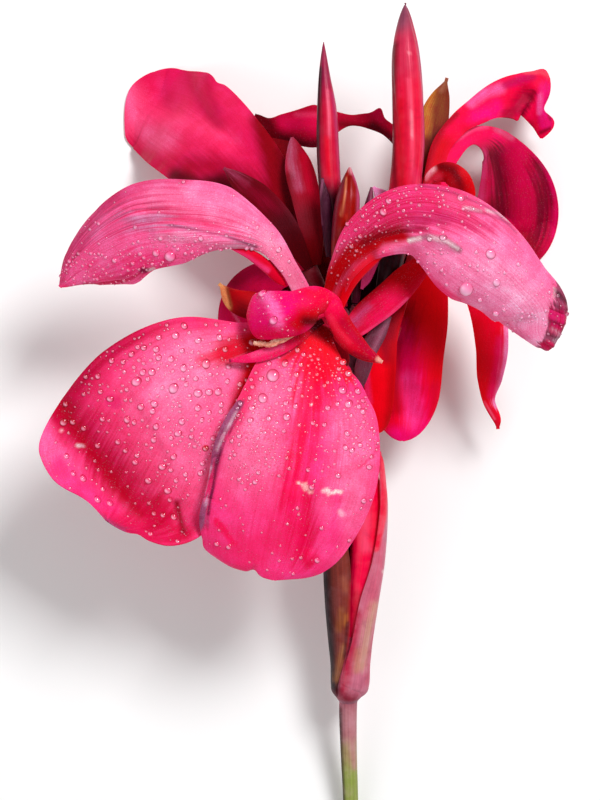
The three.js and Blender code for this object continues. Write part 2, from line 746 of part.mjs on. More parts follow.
const BUD_THIN = {
  rings: 12,
  stations: [
    [8.1, 43, 40.5, 1.4],
    [6.8, 59, 41.5, 2.7],
    [4.8, 73.1, 42.5, 3.1],
    [3.9, 87.2, 42.5, 3.2],
    [3.6, 98.6, 42.5, 2.8],
    [2.9, 108.5, 42.5, 1.6],
    [2.6, 117.8, 42.5, 0.3],
  ],
};

const BUD_SMALL = {
  rings: 10,
  stations: [
    [6.7, 44.1, 45.2, 1.4],
    [7, 53, 48, 2.2],
    [8.3, 64.1, 49.5, 3.4],
    [9.4, 72.5, 50, 3.4],
    [9.7, 77.3, 50, 2.2],
    [9.9, 81.7, 50, 0.3],
  ],
};

const BUD_TIP = {
  rings: 8,
  sides: STALK_SIDES,
  stations: [
    [11.7, 44, 41.5, 1.1],
    [13, 55.6, 42.5, 1.7],
    [14.9, 67.4, 43, 2],
    [15.8, 73.1, 43, 1.1],
    [16.2, 76.7, 43, 0.3],
  ],
};

// ---------------------------------------------------------------- the whole stem

function stemWithStalks() {
  const stalks = Object.values(STALKS).map((stations) =>
    rod({ stations, rings: stations.length, sides: STALK_SIDES }));
  return grownTogether([rod(STEM), ...stalks]);
}

function flesh(colour, roughness = 0.45) {
  return new THREE.MeshStandardMaterial({ color: colour, roughness, metalness: 0 });
}

const PINK = 0xf0468c;
const ROSE = 0xe0206a;
const CRIMSON = 0xc8102c;
const MAROON = 0x8c0a3c;

function group(name, pieces) {
  const holder = new THREE.Group();
  holder.name = name;
  for (const [pieceName, geometry, material] of pieces) {
    const mesh = new THREE.Mesh(geometry, material);
    mesh.name = pieceName;
    holder.add(mesh);
  }
  return holder;
}

const flowerStem = new THREE.Group();

flowerStem.add(group("axis", [
  ["stem", stemWithStalks(), flesh(0x9c8468, 0.6)],
  ["bract_right", blade(BRACT_RIGHT), flesh(0xb0707c, 0.55)],
  ["bract_left", blade(BRACT_LEFT), flesh(0x5c3824, 0.6)],
  ["inner_bract", blade(INNER_BRACT), flesh(0xd83058)],
]));

flowerStem.add(group("front_flower", [
  ["front_tube", flowerTube(FRONT_TUBE, FRONT_CALYX), flesh(0x98405c, 0.6)],
  ["front_labellum", blade(FRONT_LABELLUM), flesh(PINK)],
  ["front_staminode_lower", blade(FRONT_STAMINODE_LOWER), flesh(PINK)],
  ["front_staminode_upper_left", blade(FRONT_STAMINODE_UPPER_LEFT), flesh(PINK)],
  ["front_staminode_upper_right", blade(FRONT_STAMINODE_UPPER_RIGHT), flesh(PINK)],
  ["front_stamen", blade(FRONT_STAMEN), flesh(ROSE)],
  ["front_stamen_lobe", blade(FRONT_STAMEN_LOBE), flesh(CRIMSON)],
  ["front_anther", blade(FRONT_ANTHER), flesh(0xe8c8a0, 0.8)],
  ["front_style", blade(FRONT_STYLE), flesh(ROSE)],
  ["front_petal_left", blade(FRONT_PETAL_LEFT), flesh(CRIMSON)],
  ["front_petal_right", blade(FRONT_PETAL_RIGHT), flesh(CRIMSON)],
  ["front_petal_back", blade(FRONT_PETAL_BACK), flesh(CRIMSON)],
]));

flowerStem.add(group("left_flower", [
  ["left_tube", flowerTube(LEFT_TUBE, LEFT_CALYX), flesh(0x98405c, 0.6)],
  ["left_staminode", blade(LEFT_STAMINODE), flesh(ROSE)],
  ["left_labellum", blade(LEFT_LABELLUM), flesh(MAROON)],
  ["left_petal_upper", blade(LEFT_PETAL_UPPER), flesh(CRIMSON)],
  ["left_petal_side", blade(LEFT_PETAL_SIDE), flesh(MAROON)],
]));

flowerStem.add(group("right_flower", [
  ["right_tube", flowerTube(RIGHT_TUBE, RIGHT_CALYX), flesh(0x98687c, 0.6)],
  ["right_staminode_arching", blade(RIGHT_STAMINODE_ARCHING), flesh(MAROON)],
  ["right_staminode_curled", blade(RIGHT_STAMINODE_CURLED), flesh(ROSE)],
  ["right_staminode_broad", blade(RIGHT_STAMINODE_BROAD), flesh(MAROON)],
  ["right_staminode_hanging", blade(RIGHT_STAMINODE_HANGING), flesh(ROSE)],
  ["right_labellum", blade(RIGHT_LABELLUM), flesh(CRIMSON)],
  ["right_stamen", blade(RIGHT_STAMEN), flesh(CRIMSON)],
  ["right_petal_tan", blade(RIGHT_PETAL_TAN), flesh(0xa86c2c, 0.6)],
  ["right_petal_pink", blade(RIGHT_PETAL_PINK), flesh(PINK)],
]));

flowerStem.add(group("buds", [
  ["bud_tall", rod(BUD_TALL), flesh(CRIMSON)],
  ["bud_thin", rod(BUD_THIN), flesh(MAROON)],
  ["bud_small", rod(BUD_SMALL), flesh(0x782020)],
  ["bud_tip", rod(BUD_TIP), flesh(0x501028)],
]));

export default flowerStem;
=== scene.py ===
import math
import random

import bpy
import numpy as np
from mathutils import Matrix, Vector, noise


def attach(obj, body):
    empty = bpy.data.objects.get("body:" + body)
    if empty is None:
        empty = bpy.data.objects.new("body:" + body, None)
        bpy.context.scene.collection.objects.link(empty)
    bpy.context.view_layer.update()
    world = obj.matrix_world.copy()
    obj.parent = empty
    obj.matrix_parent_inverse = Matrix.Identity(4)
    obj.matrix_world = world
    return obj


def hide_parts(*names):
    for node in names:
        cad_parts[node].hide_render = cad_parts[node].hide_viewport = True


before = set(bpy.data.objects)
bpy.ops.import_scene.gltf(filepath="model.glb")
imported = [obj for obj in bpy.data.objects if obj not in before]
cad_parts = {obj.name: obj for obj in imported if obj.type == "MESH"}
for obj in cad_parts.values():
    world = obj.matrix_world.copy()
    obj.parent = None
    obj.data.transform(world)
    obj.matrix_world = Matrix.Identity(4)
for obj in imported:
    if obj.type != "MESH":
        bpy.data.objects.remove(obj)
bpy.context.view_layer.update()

# many washes are painted light and shade: sheen, highlights, glints and shade
# Each piece is a form, whose values are these:
#   slot      the finish it gets
#   stations  from foot to tip. A blade's are [x, y, z, left half, right half, roll, left curl, right
#             curl], with zeros left out at the end, and a rod's are [x, y, z, radius]
#   colour    the ground colour, as 0xRRGGBB
#   washes    (colour, strength, reach, softness, line) and, where the edge runs out in streaks,
#             how far they run. A line is [x, y, x, y, ...], as seen from above
#   veins, mist, drops  how strongly they show: [ground, (strength, reach, softness, line), ...]
#   folds     (height, width, line)
#   tip       (place across, depth, width) of dips in the tip, and nicks (side, place along, depth,
#             width) of dips in a margin; a negative depth bulges
#   wave      (height, count) of the slow waves of the margins, and frill the height of fast ones
#   blunt     how full the tip is: the higher, the squarer
#   ribs      (count, height) round a rod, seams (turn at the foot, turn at the tip, depth, width)
#             along it, and warts (height, end), a rough coat up to that share of the length
#   spacing   between the points of the mesh, and sides, how many of them there are round a rod
#   thickness of a blade, facing, the way its face looks, and seed, that of its streaks
#   parts     more forms, joined to this one
MM = 0.001
UP = np.array([0.0, 0.0, 1.0])
STATION_SIZE = 8
ROD_STATION_SIZE = 4
LEAST_HALF_WIDTH = 0.5  # a blade's margins stay this far from its midline at both ends
LEAST_RADIUS = 0.3
ROW_CROWDING = 1.5  # rows stand closer together towards a blade's tip
WAVE_PHASE = 1.3  # between the waves of a blade's two margins
WAVE_EDGE = 2.5  # powers: the higher, the closer to the margin waves and frills stay
FRILL_EDGE = 6
FRILL_PHASE = 1.7
CALM_FOOT = (0.2, 0.5)  # the margins' waves begin and are full at these shares of the length
FRILL = ((7, 0.5), (13, 0.35), (23, 0.15))  # counts of the fast waves, with their shares
BLADE_THICKNESS = 0.8
SEPAL_THICKNESS = 0.7
MARGIN_SHARE = 0.45  # of the thickness that a blade keeps at its margins
BLADE_SPACING = 0.45  # between the points of a mesh
ROD_SPACING = 0.8
ROD_SIDES = 40
FEWEST_COLUMNS, FEWEST_ROWS, FEWEST_RINGS = 10, 24, 12
TIP_TAPER = 0.04  # the share of its length in which a blade thins out to its tip
SEAM_START = 0.1  # the share of a rod's length in which its seams deepen from the foot
WART_SCALE = 1.4


# ---------------------------------------------------------------- curves through stations

def unit(vectors):
    return vectors / np.linalg.norm(vectors, axis=-1, keepdims=True)


class Curve:
    """One smooth curve through stations, with every number in them carried along it."""

    def __init__(self, stations):
        self.stations = np.array([[*s, *[0.0] * (STATION_SIZE - len(s))] for s in stations], float)
        steps = np.linalg.norm(np.diff(self.stations[:, :3], axis=0), axis=1)
        self.knots = np.concatenate([[0.0], np.cumsum(steps)])
        self.length = self.knots[-1]
        count = len(self.stations)
        before = np.maximum(np.arange(count) - 1, 0)
        after = np.minimum(np.arange(count) + 1, count - 1)
        gaps = self.knots[after] - self.knots[before]
        self.slopes = (self.stations[after] - self.stations[before]) / gaps[:, None]

    def at(self, distance):
        last = len(self.knots) - 2
        i = np.clip(np.searchsorted(self.knots, distance, side="right") - 1, 0, last)
        step = (self.knots[i + 1] - self.knots[i])[:, None]
        s = (distance - self.knots[i])[:, None] / step
        return ((1 + 2 * s) * (1 - s) ** 2 * self.stations[i]
                + s * (1 - s) ** 2 * step * self.slopes[i]
                + s * s * (3 - 2 * s) * self.stations[i + 1]
                + s * s * (s - 1) * step * self.slopes[i + 1])

    def frames(self, distance, facing=UP):
        """The stations at the distances, with the ways along, to the face and to the right."""
        near = self.length / 1000
        inside = np.clip(distance, near, self.length - near)
        along = unit(self.at(inside + near)[:, :3] - self.at(inside - near)[:, :3])
        face = unit(facing - along * (along @ facing)[:, None])
        return self.at(distance), along, face, np.cross(along, face)


# ---------------------------------------------------------------- paint laid along lines

def linear(code):
    """A screen colour, 0xRRGGBB, as linear light."""
    share = np.array([code >> 16, code >> 8 & 255, code & 255]) / 255
    return np.where(share <= 0.04045, share / 12.92, ((share + 0.055) / 1.055) ** 2.4)


def smooth_step(low, high, values):
    share = np.clip((values - low) / (high - low), 0, 1)
    return share * share * (3 - 2 * share)


def bell(distance, width):
    return np.exp(-((distance / width) ** 2))


def distance_to(points, line):
    """How far points are from a line, as seen from above."""
    line = np.reshape(line, (-1, 2)).astype(float)
    flat = points[:, :2]
    if len(line) == 1:
        return np.linalg.norm(flat - line[0], axis=1)
    nearest = np.full(len(flat), np.inf)
    for start, end in zip(line[:-1], line[1:]):
        way = end - start
        share = np.clip((flat - start) @ way / (way @ way), 0, 1)
        nearest = np.minimum(nearest, np.linalg.norm(flat - start - share[:, None] * way, axis=1))
    return nearest


def cover(points, reach, soft, line, shift=0.0):
    """How fully a stroke along a line covers points: 1 within its reach, 0 past its soft edge."""
    return 1 - smooth_step(reach - soft, reach + soft, distance_to(points, line) + shift)


def streaks(across, along, seed):
    """A value from about -1 to 1 that changes fast across a blade and slowly along it."""
    values = []
    for a, b in zip(across, along):
        coarse = noise.noise(Vector((a * 16, b * 5, seed)))
        fine = noise.noise(Vector((a * 60, b * 9, seed + 7)))
        values.append(1.3 * coarse + 0.9 * fine)
    return np.array(values)


def tint_of(form, points, across, along):
    """A colour for each point: the ground colour with the washes laid over it, painted light and shade
    among them.
    """
    colours = np.tile(linear(form["colour"]), (len(points), 1))
    lines = streaks(across, along, form.get("seed", 1))
    for colour, strength, reach, soft, line, *ragged in form.get("washes", []):
        shift = ragged[0] * lines if ragged else 0.0
        weight = (strength * cover(points, reach, soft, line, shift))[:, None]
        colours = colours * (1 - weight) + linear(colour) * weight
    return colours


def marks_of(form, points):
    """For each point how strongly veins, mist and drops show, from 0 to 1."""
    marks = np.zeros((len(points), 3))
    for channel, kind in enumerate(("veins", "mist", "drops")):
        ground, *strokes = form.get(kind, [0])
        marks[:, channel] = ground
        for strength, reach, soft, line in strokes:
            weight = strength * cover(points, reach, soft, line)
            marks[:, channel] = np.maximum(marks[:, channel], weight)
    return marks


# ---------------------------------------------------------------- blades

def surface(form, across, along):
    """Where the points of a blade's middle surface lie, for across -1 to 1 from the left margin to
    the right one and along 0 to 1 from the foot to the tip."""
    curve = Curve(form["stations"])
    shrink = np.sqrt(np.clip(1 - along ** form.get("blunt", 20), 0, 1))
    reach = np.ones(len(across))
    for middle, depth, width in form.get("tip", []):
        reach -= depth * bell(across * shrink - middle, width)
    distance = along * reach * curve.length
    station, _, face, right = curve.frames(distance, form.get("facing", UP))
    centre = station[:, :3]
    left_half, right_half, roll, left_curl, right_curl = station[:, 3:].T
    roll = np.radians(roll)[:, None]
    side = right * np.cos(roll) + face * np.sin(roll)
    lift = face * np.cos(roll) - right * np.sin(roll)

    out = np.abs(across)
    is_right = across > 0
    half = np.where(is_right, right_half, left_half)
    for margin, middle, depth, width in form.get("nicks", []):
        half = half * (1 - np.where(across * margin > 0, depth * bell(along - middle, width), 0))
    half = np.maximum(half * shrink, LEAST_HALF_WIDTH)
    curl = np.radians(np.where(is_right, right_curl, left_curl))
    flat = np.abs(curl) < 0.001
    turn = np.where(flat, 1.0, curl)
    sideways = np.where(flat, half * out, half * np.sin(turn * out) / turn)
    rise = np.where(flat, 0.0, half * (1 - np.cos(turn * out)) / turn)

    start, full = CALM_FOOT
    settle = np.clip((along - start) / (full - start), 0, 1)
    height, count = form.get("wave", (0, 0))
    phase = np.where(is_right, WAVE_PHASE, 0.0)
    rise = rise + height * out ** WAVE_EDGE * np.sin(2 * math.pi * count * along + phase) * settle
    points = centre + side * (sideways * np.sign(across))[:, None] + lift * rise[:, None]
    relief = np.zeros(len(points))
    for height, width, line in form.get("folds", []):
        relief += height * bell(distance_to(points, line), width)
    for count, share in FRILL:
        wave = np.sin(2 * math.pi * count * along + (FRILL_PHASE * count * is_right + count))
        relief += form.get("frill", 0) * share * out ** FRILL_EDGE * settle * wave
    points = points + lift * relief[:, None]
    points[:, 2] = np.maximum(points[:, 2], form.get("thickness", BLADE_THICKNESS) / 2)
    return points


def surface_normal(form, across, along):
    """The face-side normals of a blade at these places."""
    near = 0.004
    ways = []
    for sideways, onwards in ((near, 0), (0, near)):
        ahead = surface(form, np.clip(across + sideways, -1, 1), np.clip(along + onwards, 0, 1))
        behind = surface(form, np.clip(across - sideways, -1, 1), np.clip(along - onwards, 0, 1))
        ways.append(ahead - behind)
    return unit(np.cross(ways[0], ways[1]))


# ---------------------------------------------------------------- making meshes

def select(*things):
    """These and nothing else are selected, and the first of them is active."""
    for thing in bpy.context.selected_objects:
        thing.select_set(False)
    for thing in things:
        thing.select_set(True)
    if things:
        bpy.context.view_layer.objects.active = things[0]


def grid(name, columns, rows):
    """A flat grid, and for each of its points its share across and along, from 0 to 1."""
    select()
    bpy.ops.mesh.primitive_grid_add(x_subdivisions=columns, y_subdivisions=rows, size=1)
    thing = bpy.context.object
    thing.name = thing.data.name = name
    places = np.zeros(len(thing.data.vertices) * 3)
    thing.data.vertices.foreach_get("co", places)
    places = places.reshape(-1, 3) + 0.5
    return thing, places[:, 0], places[:, 1]


def paint(attribute, colours):
    rgba = np.concatenate([colours, np.ones((len(colours), 1))], axis=1)
    attribute.data.foreach_set("color", rgba.ravel())


def shape(thing, form, points, across, along, paint_across):
    """The grid's points in their places, with its UV map, U across and V along, and its paint."""
    mesh = thing.data
    mesh.vertices.foreach_set("co", (points * MM).ravel())
    corners = np.zeros(len(mesh.loops), int)
    mesh.loops.foreach_get("vertex_index", corners)
    uv = np.stack([across[corners], along[corners]], axis=1)
    mesh.uv_layers.active.data.foreach_set("uv", uv.ravel())
    for name, colours in (("tint", tint_of(form, points, paint_across, along)),
                          ("marks", marks_of(form, points))):
        paint(mesh.color_attributes.new(name, "FLOAT_COLOR", "POINT"), colours)


def smooth(thing, degrees=50):
    select(thing)
    bpy.ops.object.shade_smooth_by_angle(angle=math.radians(degrees))
    return thing


def make_blade(name, form):
    """A blade's fine mesh, thinner at its margins."""
    spacing = form.get("spacing", BLADE_SPACING)
    width = max(left + right for _, _, _, left, right, *_ in form["stations"])
    columns = max(FEWEST_COLUMNS, int(width / spacing))
    rows = max(FEWEST_ROWS, int(Curve(form["stations"]).length / spacing))
    thing, share_across, share_along = grid(name, columns, rows)
    across = 2 * share_across - 1
    along = 1 - (1 - share_along) ** ROW_CROWDING
    shape(thing, form, surface(form, across, along), share_across, along, across)
    fullness = (1 - np.abs(across) ** 6) * smooth_step(0, TIP_TAPER, 1 - along)
    thickest = thing.vertex_groups.new(name="fullness")
    for i, weight in enumerate(fullness):
        thickest.add([i], float(weight), "REPLACE")
    wall = thing.modifiers.new("wall", "SOLIDIFY")
    wall.thickness = form.get("thickness", BLADE_THICKNESS) * MM
    wall.offset = 0
    wall.vertex_group = "fullness"
    wall.thickness_vertex_group = MARGIN_SHARE
    select(thing)
    bpy.ops.object.modifier_apply(modifier=wall.name)
    thing.vertex_groups.clear()
    for vertex in thing.data.vertices:
        vertex.co.z = max(vertex.co.z, 0)
    return smooth(thing)


def make_rod(name, form):
    """A stem, stalk, tube or bud: a grid wrapped round its curve and closed at both ends."""
    curve = Curve(form["stations"])
    rings = max(FEWEST_RINGS, int(curve.length / form.get("spacing", ROD_SPACING)))
    thing, turn, share = grid(name, form.get("sides", ROD_SIDES), rings)
    ring = np.rint(share * rings)
    along = np.clip((ring - 1) / (rings - 2), 0, 1)
    station, _, face, right = curve.frames(along * curve.length)
    angle = 2 * math.pi * turn
    radius = np.maximum(station[:, 3], LEAST_RADIUS)
    rib_count, rib_height = form.get("ribs", (0, 0))
    radius = radius + rib_height * (np.cos(rib_count * angle) - 1) / 2
    for foot, tip, depth, width in form.get("seams", []):
        away = angle - np.radians(foot + (tip - foot) * along)
        away = np.abs((away + math.pi) % (2 * math.pi) - math.pi) * radius
        radius = radius - depth * bell(away, width) * smooth_step(0, SEAM_START, along)
    radius = np.where((ring == 0) | (ring == rings), 0, radius)
    outward = right * np.cos(angle)[:, None] + face * np.sin(angle)[:, None]
    points = station[:, :3] + outward * radius[:, None]
    if "warts" in form:
        height, end = form["warts"]
        rough = np.array([abs(noise.noise(Vector(p) * WART_SCALE)) for p in points])
        coat = height * rough * (1 - smooth_step(end * 0.8, end, along)) * (radius > 0)
        points = points + outward * coat[:, None]
    points[:, 2] = np.maximum(points[:, 2], 0)
    shape(thing, form, points, turn, along, 2 * turn - 1)
    bpy.ops.object.mode_set(mode="EDIT")
    bpy.ops.mesh.select_all(action="SELECT")
    bpy.ops.mesh.remove_doubles(threshold=1e-6)
    bpy.ops.mesh.normals_make_consistent(inside=False)
    bpy.ops.object.mode_set(mode="OBJECT")
    return smooth(thing)


def join(things):
    """Several meshes as one, which keeps the first one's name."""
    select(*things)
    if len(things) > 1:
        bpy.ops.object.join()
    return things[0]


def make_piece(name, form):
    """A blade or a rod, with its parts joined to it."""
    make = make_rod if len(form["stations"][0]) == ROD_STATION_SIZE else make_blade
    pieces = [make(name, form)]
    pieces += [make_piece(name + "_part", part) for part in form.get("parts", [])]
    return join(pieces)


# ---------------------------------------------------------------- materials

class Shader:
    """A material's node tree, with short ways to add what the finishes here use."""

    def __init__(self, name):
        self.material = bpy.data.materials.new(name)
        self.material.use_nodes = True
        self.nodes = self.material.node_tree.nodes
        self.surface = self.nodes["Principled BSDF"]

    def feed(self, value, socket):
        if isinstance(value, bpy.types.NodeSocket):
            self.material.node_tree.links.new(value, socket)
        else:
            socket.default_value = value

    def feed_all(self, node, values):
        for name, value in values.items():
            self.feed(value, node.inputs[name.replace("_", " ")])
        return node

    def add(self, kind, **values):
        return self.feed_all(self.nodes.new(kind), values)

    def finish(self, **values):
        self.feed_all(self.surface, values)
        return self.material

    def paint(self, name):
        node = self.add("ShaderNodeVertexColor")
        node.layer_name = name
        return node.outputs["Color"]

    def marks(self):
        """The strengths of the veins and of the mist."""
        parts = self.add("ShaderNodeSeparateColor", Color=self.paint("marks"))
        return parts.outputs[0], parts.outputs[1]

    def uv(self, across, along):
        """The UV map, stretched to these scales across and along the piece."""
        spot = self.add("ShaderNodeUVMap").outputs["UV"]
        return self.add("ShaderNodeMapping", Vector=spot, Scale=(across, along, 1)).outputs["Vector"]

    def place(self):
        return self.add("ShaderNodeTexCoord").outputs["Object"]

    def noise(self, vector, scale, detail=3.0, roughness=0.5):
        return self.add("ShaderNodeTexNoise", Vector=vector, Scale=scale, Detail=detail,
                        Roughness=roughness).outputs["Fac"]

    def ramp(self, value, low, high, to_low=0.0, to_high=1.0):
        node = self.add("ShaderNodeMapRange")
        node.interpolation_type = "SMOOTHSTEP"
        self.feed_all(node, {"Value": value, "From Min": low, "From Max": high, "To Min": to_low,
                             "To Max": to_high})
        return node.outputs["Result"]

    def math(self, operation, total, *values):
        """The values added, multiplied or taken away, one after another."""
        for value in values:
            node = self.add("ShaderNodeMath")
            node.operation = operation
            self.feed(total, node.inputs[0])
            self.feed(value, node.inputs[1])
            total = node.outputs["Value"]
        return total

    def product(self, *values):
        return self.math("MULTIPLY", *values)

    def blend(self, share, under, over, mode="MIX"):
        node = self.add("ShaderNodeMix")
        node.data_type = "RGBA"
        node.blend_type = mode
        for value, socket in ((share, "Factor"), (under, 6), (over, 7)):
            self.feed(value, node.inputs[socket])
        return node.outputs[2]

    def times(self, colour, *factor):
        """The colour, multiplied by a factor for red, green and blue."""
        return self.blend(1.0, colour, (*factor, 1.0), "MULTIPLY")

    def bump(self, height, strength, distance):
        return self.add("ShaderNodeBump", Height=height, Strength=strength,
                        Distance=distance).outputs["Normal"]


def petal_material(name, vein_count):
    """Living petal tissue: veins that run from foot to tip, a fine grain, and a mist of dew with
    painted light and shade.
    """
    shader = Shader(name)
    colour = shader.paint("tint")
    veins, mist = shader.marks()
    fine = shader.noise(shader.uv(vein_count, 4), 1.0, detail=4.0, roughness=0.65)
    broad = shader.noise(shader.uv(vein_count / 6, 1.5), 1.0, detail=2.0)
    mottle = shader.noise(shader.place(), 190.0)
    grain = shader.noise(shader.place(), 3000.0, detail=2.0)

    def deepen(share, colour):
        return shader.blend(share, colour, shader.times(colour, 0.78, 0.22, 0.40))

    def lighten(share, colour):
        return shader.blend(share, colour, shader.times(colour, 1.0, 2.4, 1.8))

    colour = deepen(shader.product(shader.ramp(fine, 0.36, 0.56, 1.0, 0.0), veins), colour)
    colour = deepen(shader.product(shader.ramp(broad, 0.36, 0.60, 1.0, 0.0), veins, 0.3), colour)
    colour = lighten(shader.product(shader.ramp(fine, 0.56, 0.70), veins, 0.5), colour)
    colour = deepen(shader.ramp(mottle, 0.38, 0.60, 0.2, 0.0), colour)
    colour = lighten(shader.ramp(mottle, 0.46, 0.68, 0.0, 0.2), colour)
    colour = lighten(shader.ramp(grain, 0.52, 0.74, 0.0, 0.5), colour)
    colour = deepen(shader.ramp(grain, 0.26, 0.46, 0.4, 0.0), colour)
    height = shader.math("ADD", shader.product(fine, 0.8), shader.product(grain, 0.5))
    # Beads of mist, in two sizes: each painted lighter as a highlight, with a painted shadow ring round
    # it.
    for scale, radius in ((1200.0, 0.26), (2100.0, 0.30)):  # beads of mist, in two sizes
        cells = shader.add("ShaderNodeTexVoronoi", Vector=shader.place(), Scale=scale)
        away = cells.outputs["Distance"]
        wet = shader.product(mist, shader.ramp(shader.noise(shader.place(), scale / 5), 0.40, 0.56))
        painted_rim_shade = shader.product(shader.ramp(away, radius + 0.14, radius + 0.04), wet, 0.6)
        bead = shader.product(shader.ramp(away, radius, radius - 0.14), wet)
        colour = deepen(painted_rim_shade, colour)
        bead_highlight = shader.blend(0.16, lighten(0.8, colour), (1.0, 0.50, 0.68, 1.0))
        colour = shader.blend(bead, colour, bead_highlight)
        height = shader.math("ADD", height, shader.product(bead, 1.2))
    return shader.finish(
        Base_Color=colour, Roughness=0.45, Normal=shader.bump(height, 0.5, 0.0002),
        Subsurface_Weight=0.1, Subsurface_Scale=0.0012, Subsurface_Radius=(1.0, 0.25, 0.35),
        Specular_IOR_Level=0.16, Specular_Tint=(1.0, 0.25, 0.45, 1.0))


def skin_material(name, rib_count, roughness, bloom):
    """The skin of stems, bracts, tubes and buds: lengthwise ribs, mottling and a waxy bloom."""
    shader = Shader(name)
    colour = shader.paint("tint")
    ribs, _ = shader.marks()
    lines = shader.ramp(shader.noise(shader.uv(rib_count, 2.5), 1.0), 0.35, 0.65)
    mottle = shader.noise(shader.place(), 260.0, detail=4.0, roughness=0.6)
    grain = shader.noise(shader.place(), 2200.0, detail=2.0)
    darker = shader.times(colour, 0.5, 0.36, 0.42)
    colour = shader.blend(shader.product(shader.math("SUBTRACT", 1.0, lines), ribs), colour, darker)
    paler = shader.blend(bloom, colour, (0.86, 0.50, 0.62, 1.0))
    colour = shader.blend(shader.ramp(mottle, 0.42, 0.68), colour, paler)
    colour = shader.blend(shader.ramp(mottle, 0.30, 0.44, 0.3, 0.0), colour, darker)
    height = shader.math("ADD", shader.product(lines, 0.6), shader.product(grain, 0.3))
    return shader.finish(
        Base_Color=colour, Roughness=roughness, Normal=shader.bump(height, 0.4, 0.00015),
        Subsurface_Weight=0.05, Subsurface_Scale=0.001, Specular_IOR_Level=0.2,
        Specular_Tint=(1.0, 0.5, 0.6, 1.0))


def anther_material():
    """Dry pollen sacs: cream, wrinkled and dusted, with painted shade in the furrows."""
    shader = Shader("anther")
    colour = shader.paint("tint")
    wrinkle = shader.noise(shader.place(), 900.0, detail=5.0, roughness=0.7)
    # Painted shade in the furrows of the wrinkles.
    furrow_shade = shader.ramp(wrinkle, 0.4, 0.62, 0.7, 0.0)
    colour = shader.blend(furrow_shade, colour, shader.times(colour, 0.62, 0.30, 0.22))
    return shader.finish(Base_Color=colour, Roughness=0.75,
                         Normal=shader.bump(wrinkle, 0.8, 0.0004))


def dew_material():
    """Drops of water, painted with the petal's colour, painted shade and a painted glow, and shining
    where the light falls.
    """
    shader = Shader("dew")
    return shader.finish(Base_Color=shader.paint("tint"), Roughness=0.07, IOR=1.5,
                         Specular_IOR_Level=0.7)


VEIN_COUNTS = {"petal_pink": 80, "petal_rose": 50, "petal_crimson": 36, "petal_maroon": 44,
               "petal_tan": 30}
SKINS = {  # ribs, roughness, bloom
    "stem": (24, 0.45, 0.12), "bract_mauve": (30, 0.45, 0.12), "bract_brown": (26, 0.5, 0.03),
    "bract_pink": (26, 0.35, 0.04), "flower_tube": (18, 0.5, 0.06), "bud_red": (26, 0.3, 0.02),
    "bud_dark": (22, 0.32, 0.02),
}
FINISH = {
    **{slot: petal_material(slot, count) for slot, count in VEIN_COUNTS.items()},
    **{slot: skin_material(slot, *look) for slot, look in SKINS.items()},
    "anther": anther_material(),
    "dew": dew_material(),
}


def place(thing, node, slot):
    """The finished piece takes its node's place, if it has one, and the finish of its slot."""
    thing.data.materials.clear()
    thing.data.materials.append(FINISH[slot])
    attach(thing, "root")
    if node:
        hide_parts(node)
    return thing


PETALS = {}
OTHERS = {}  # anther, bracts, stem, tubes and buds


# ---------------------------------------------------------------- front flower

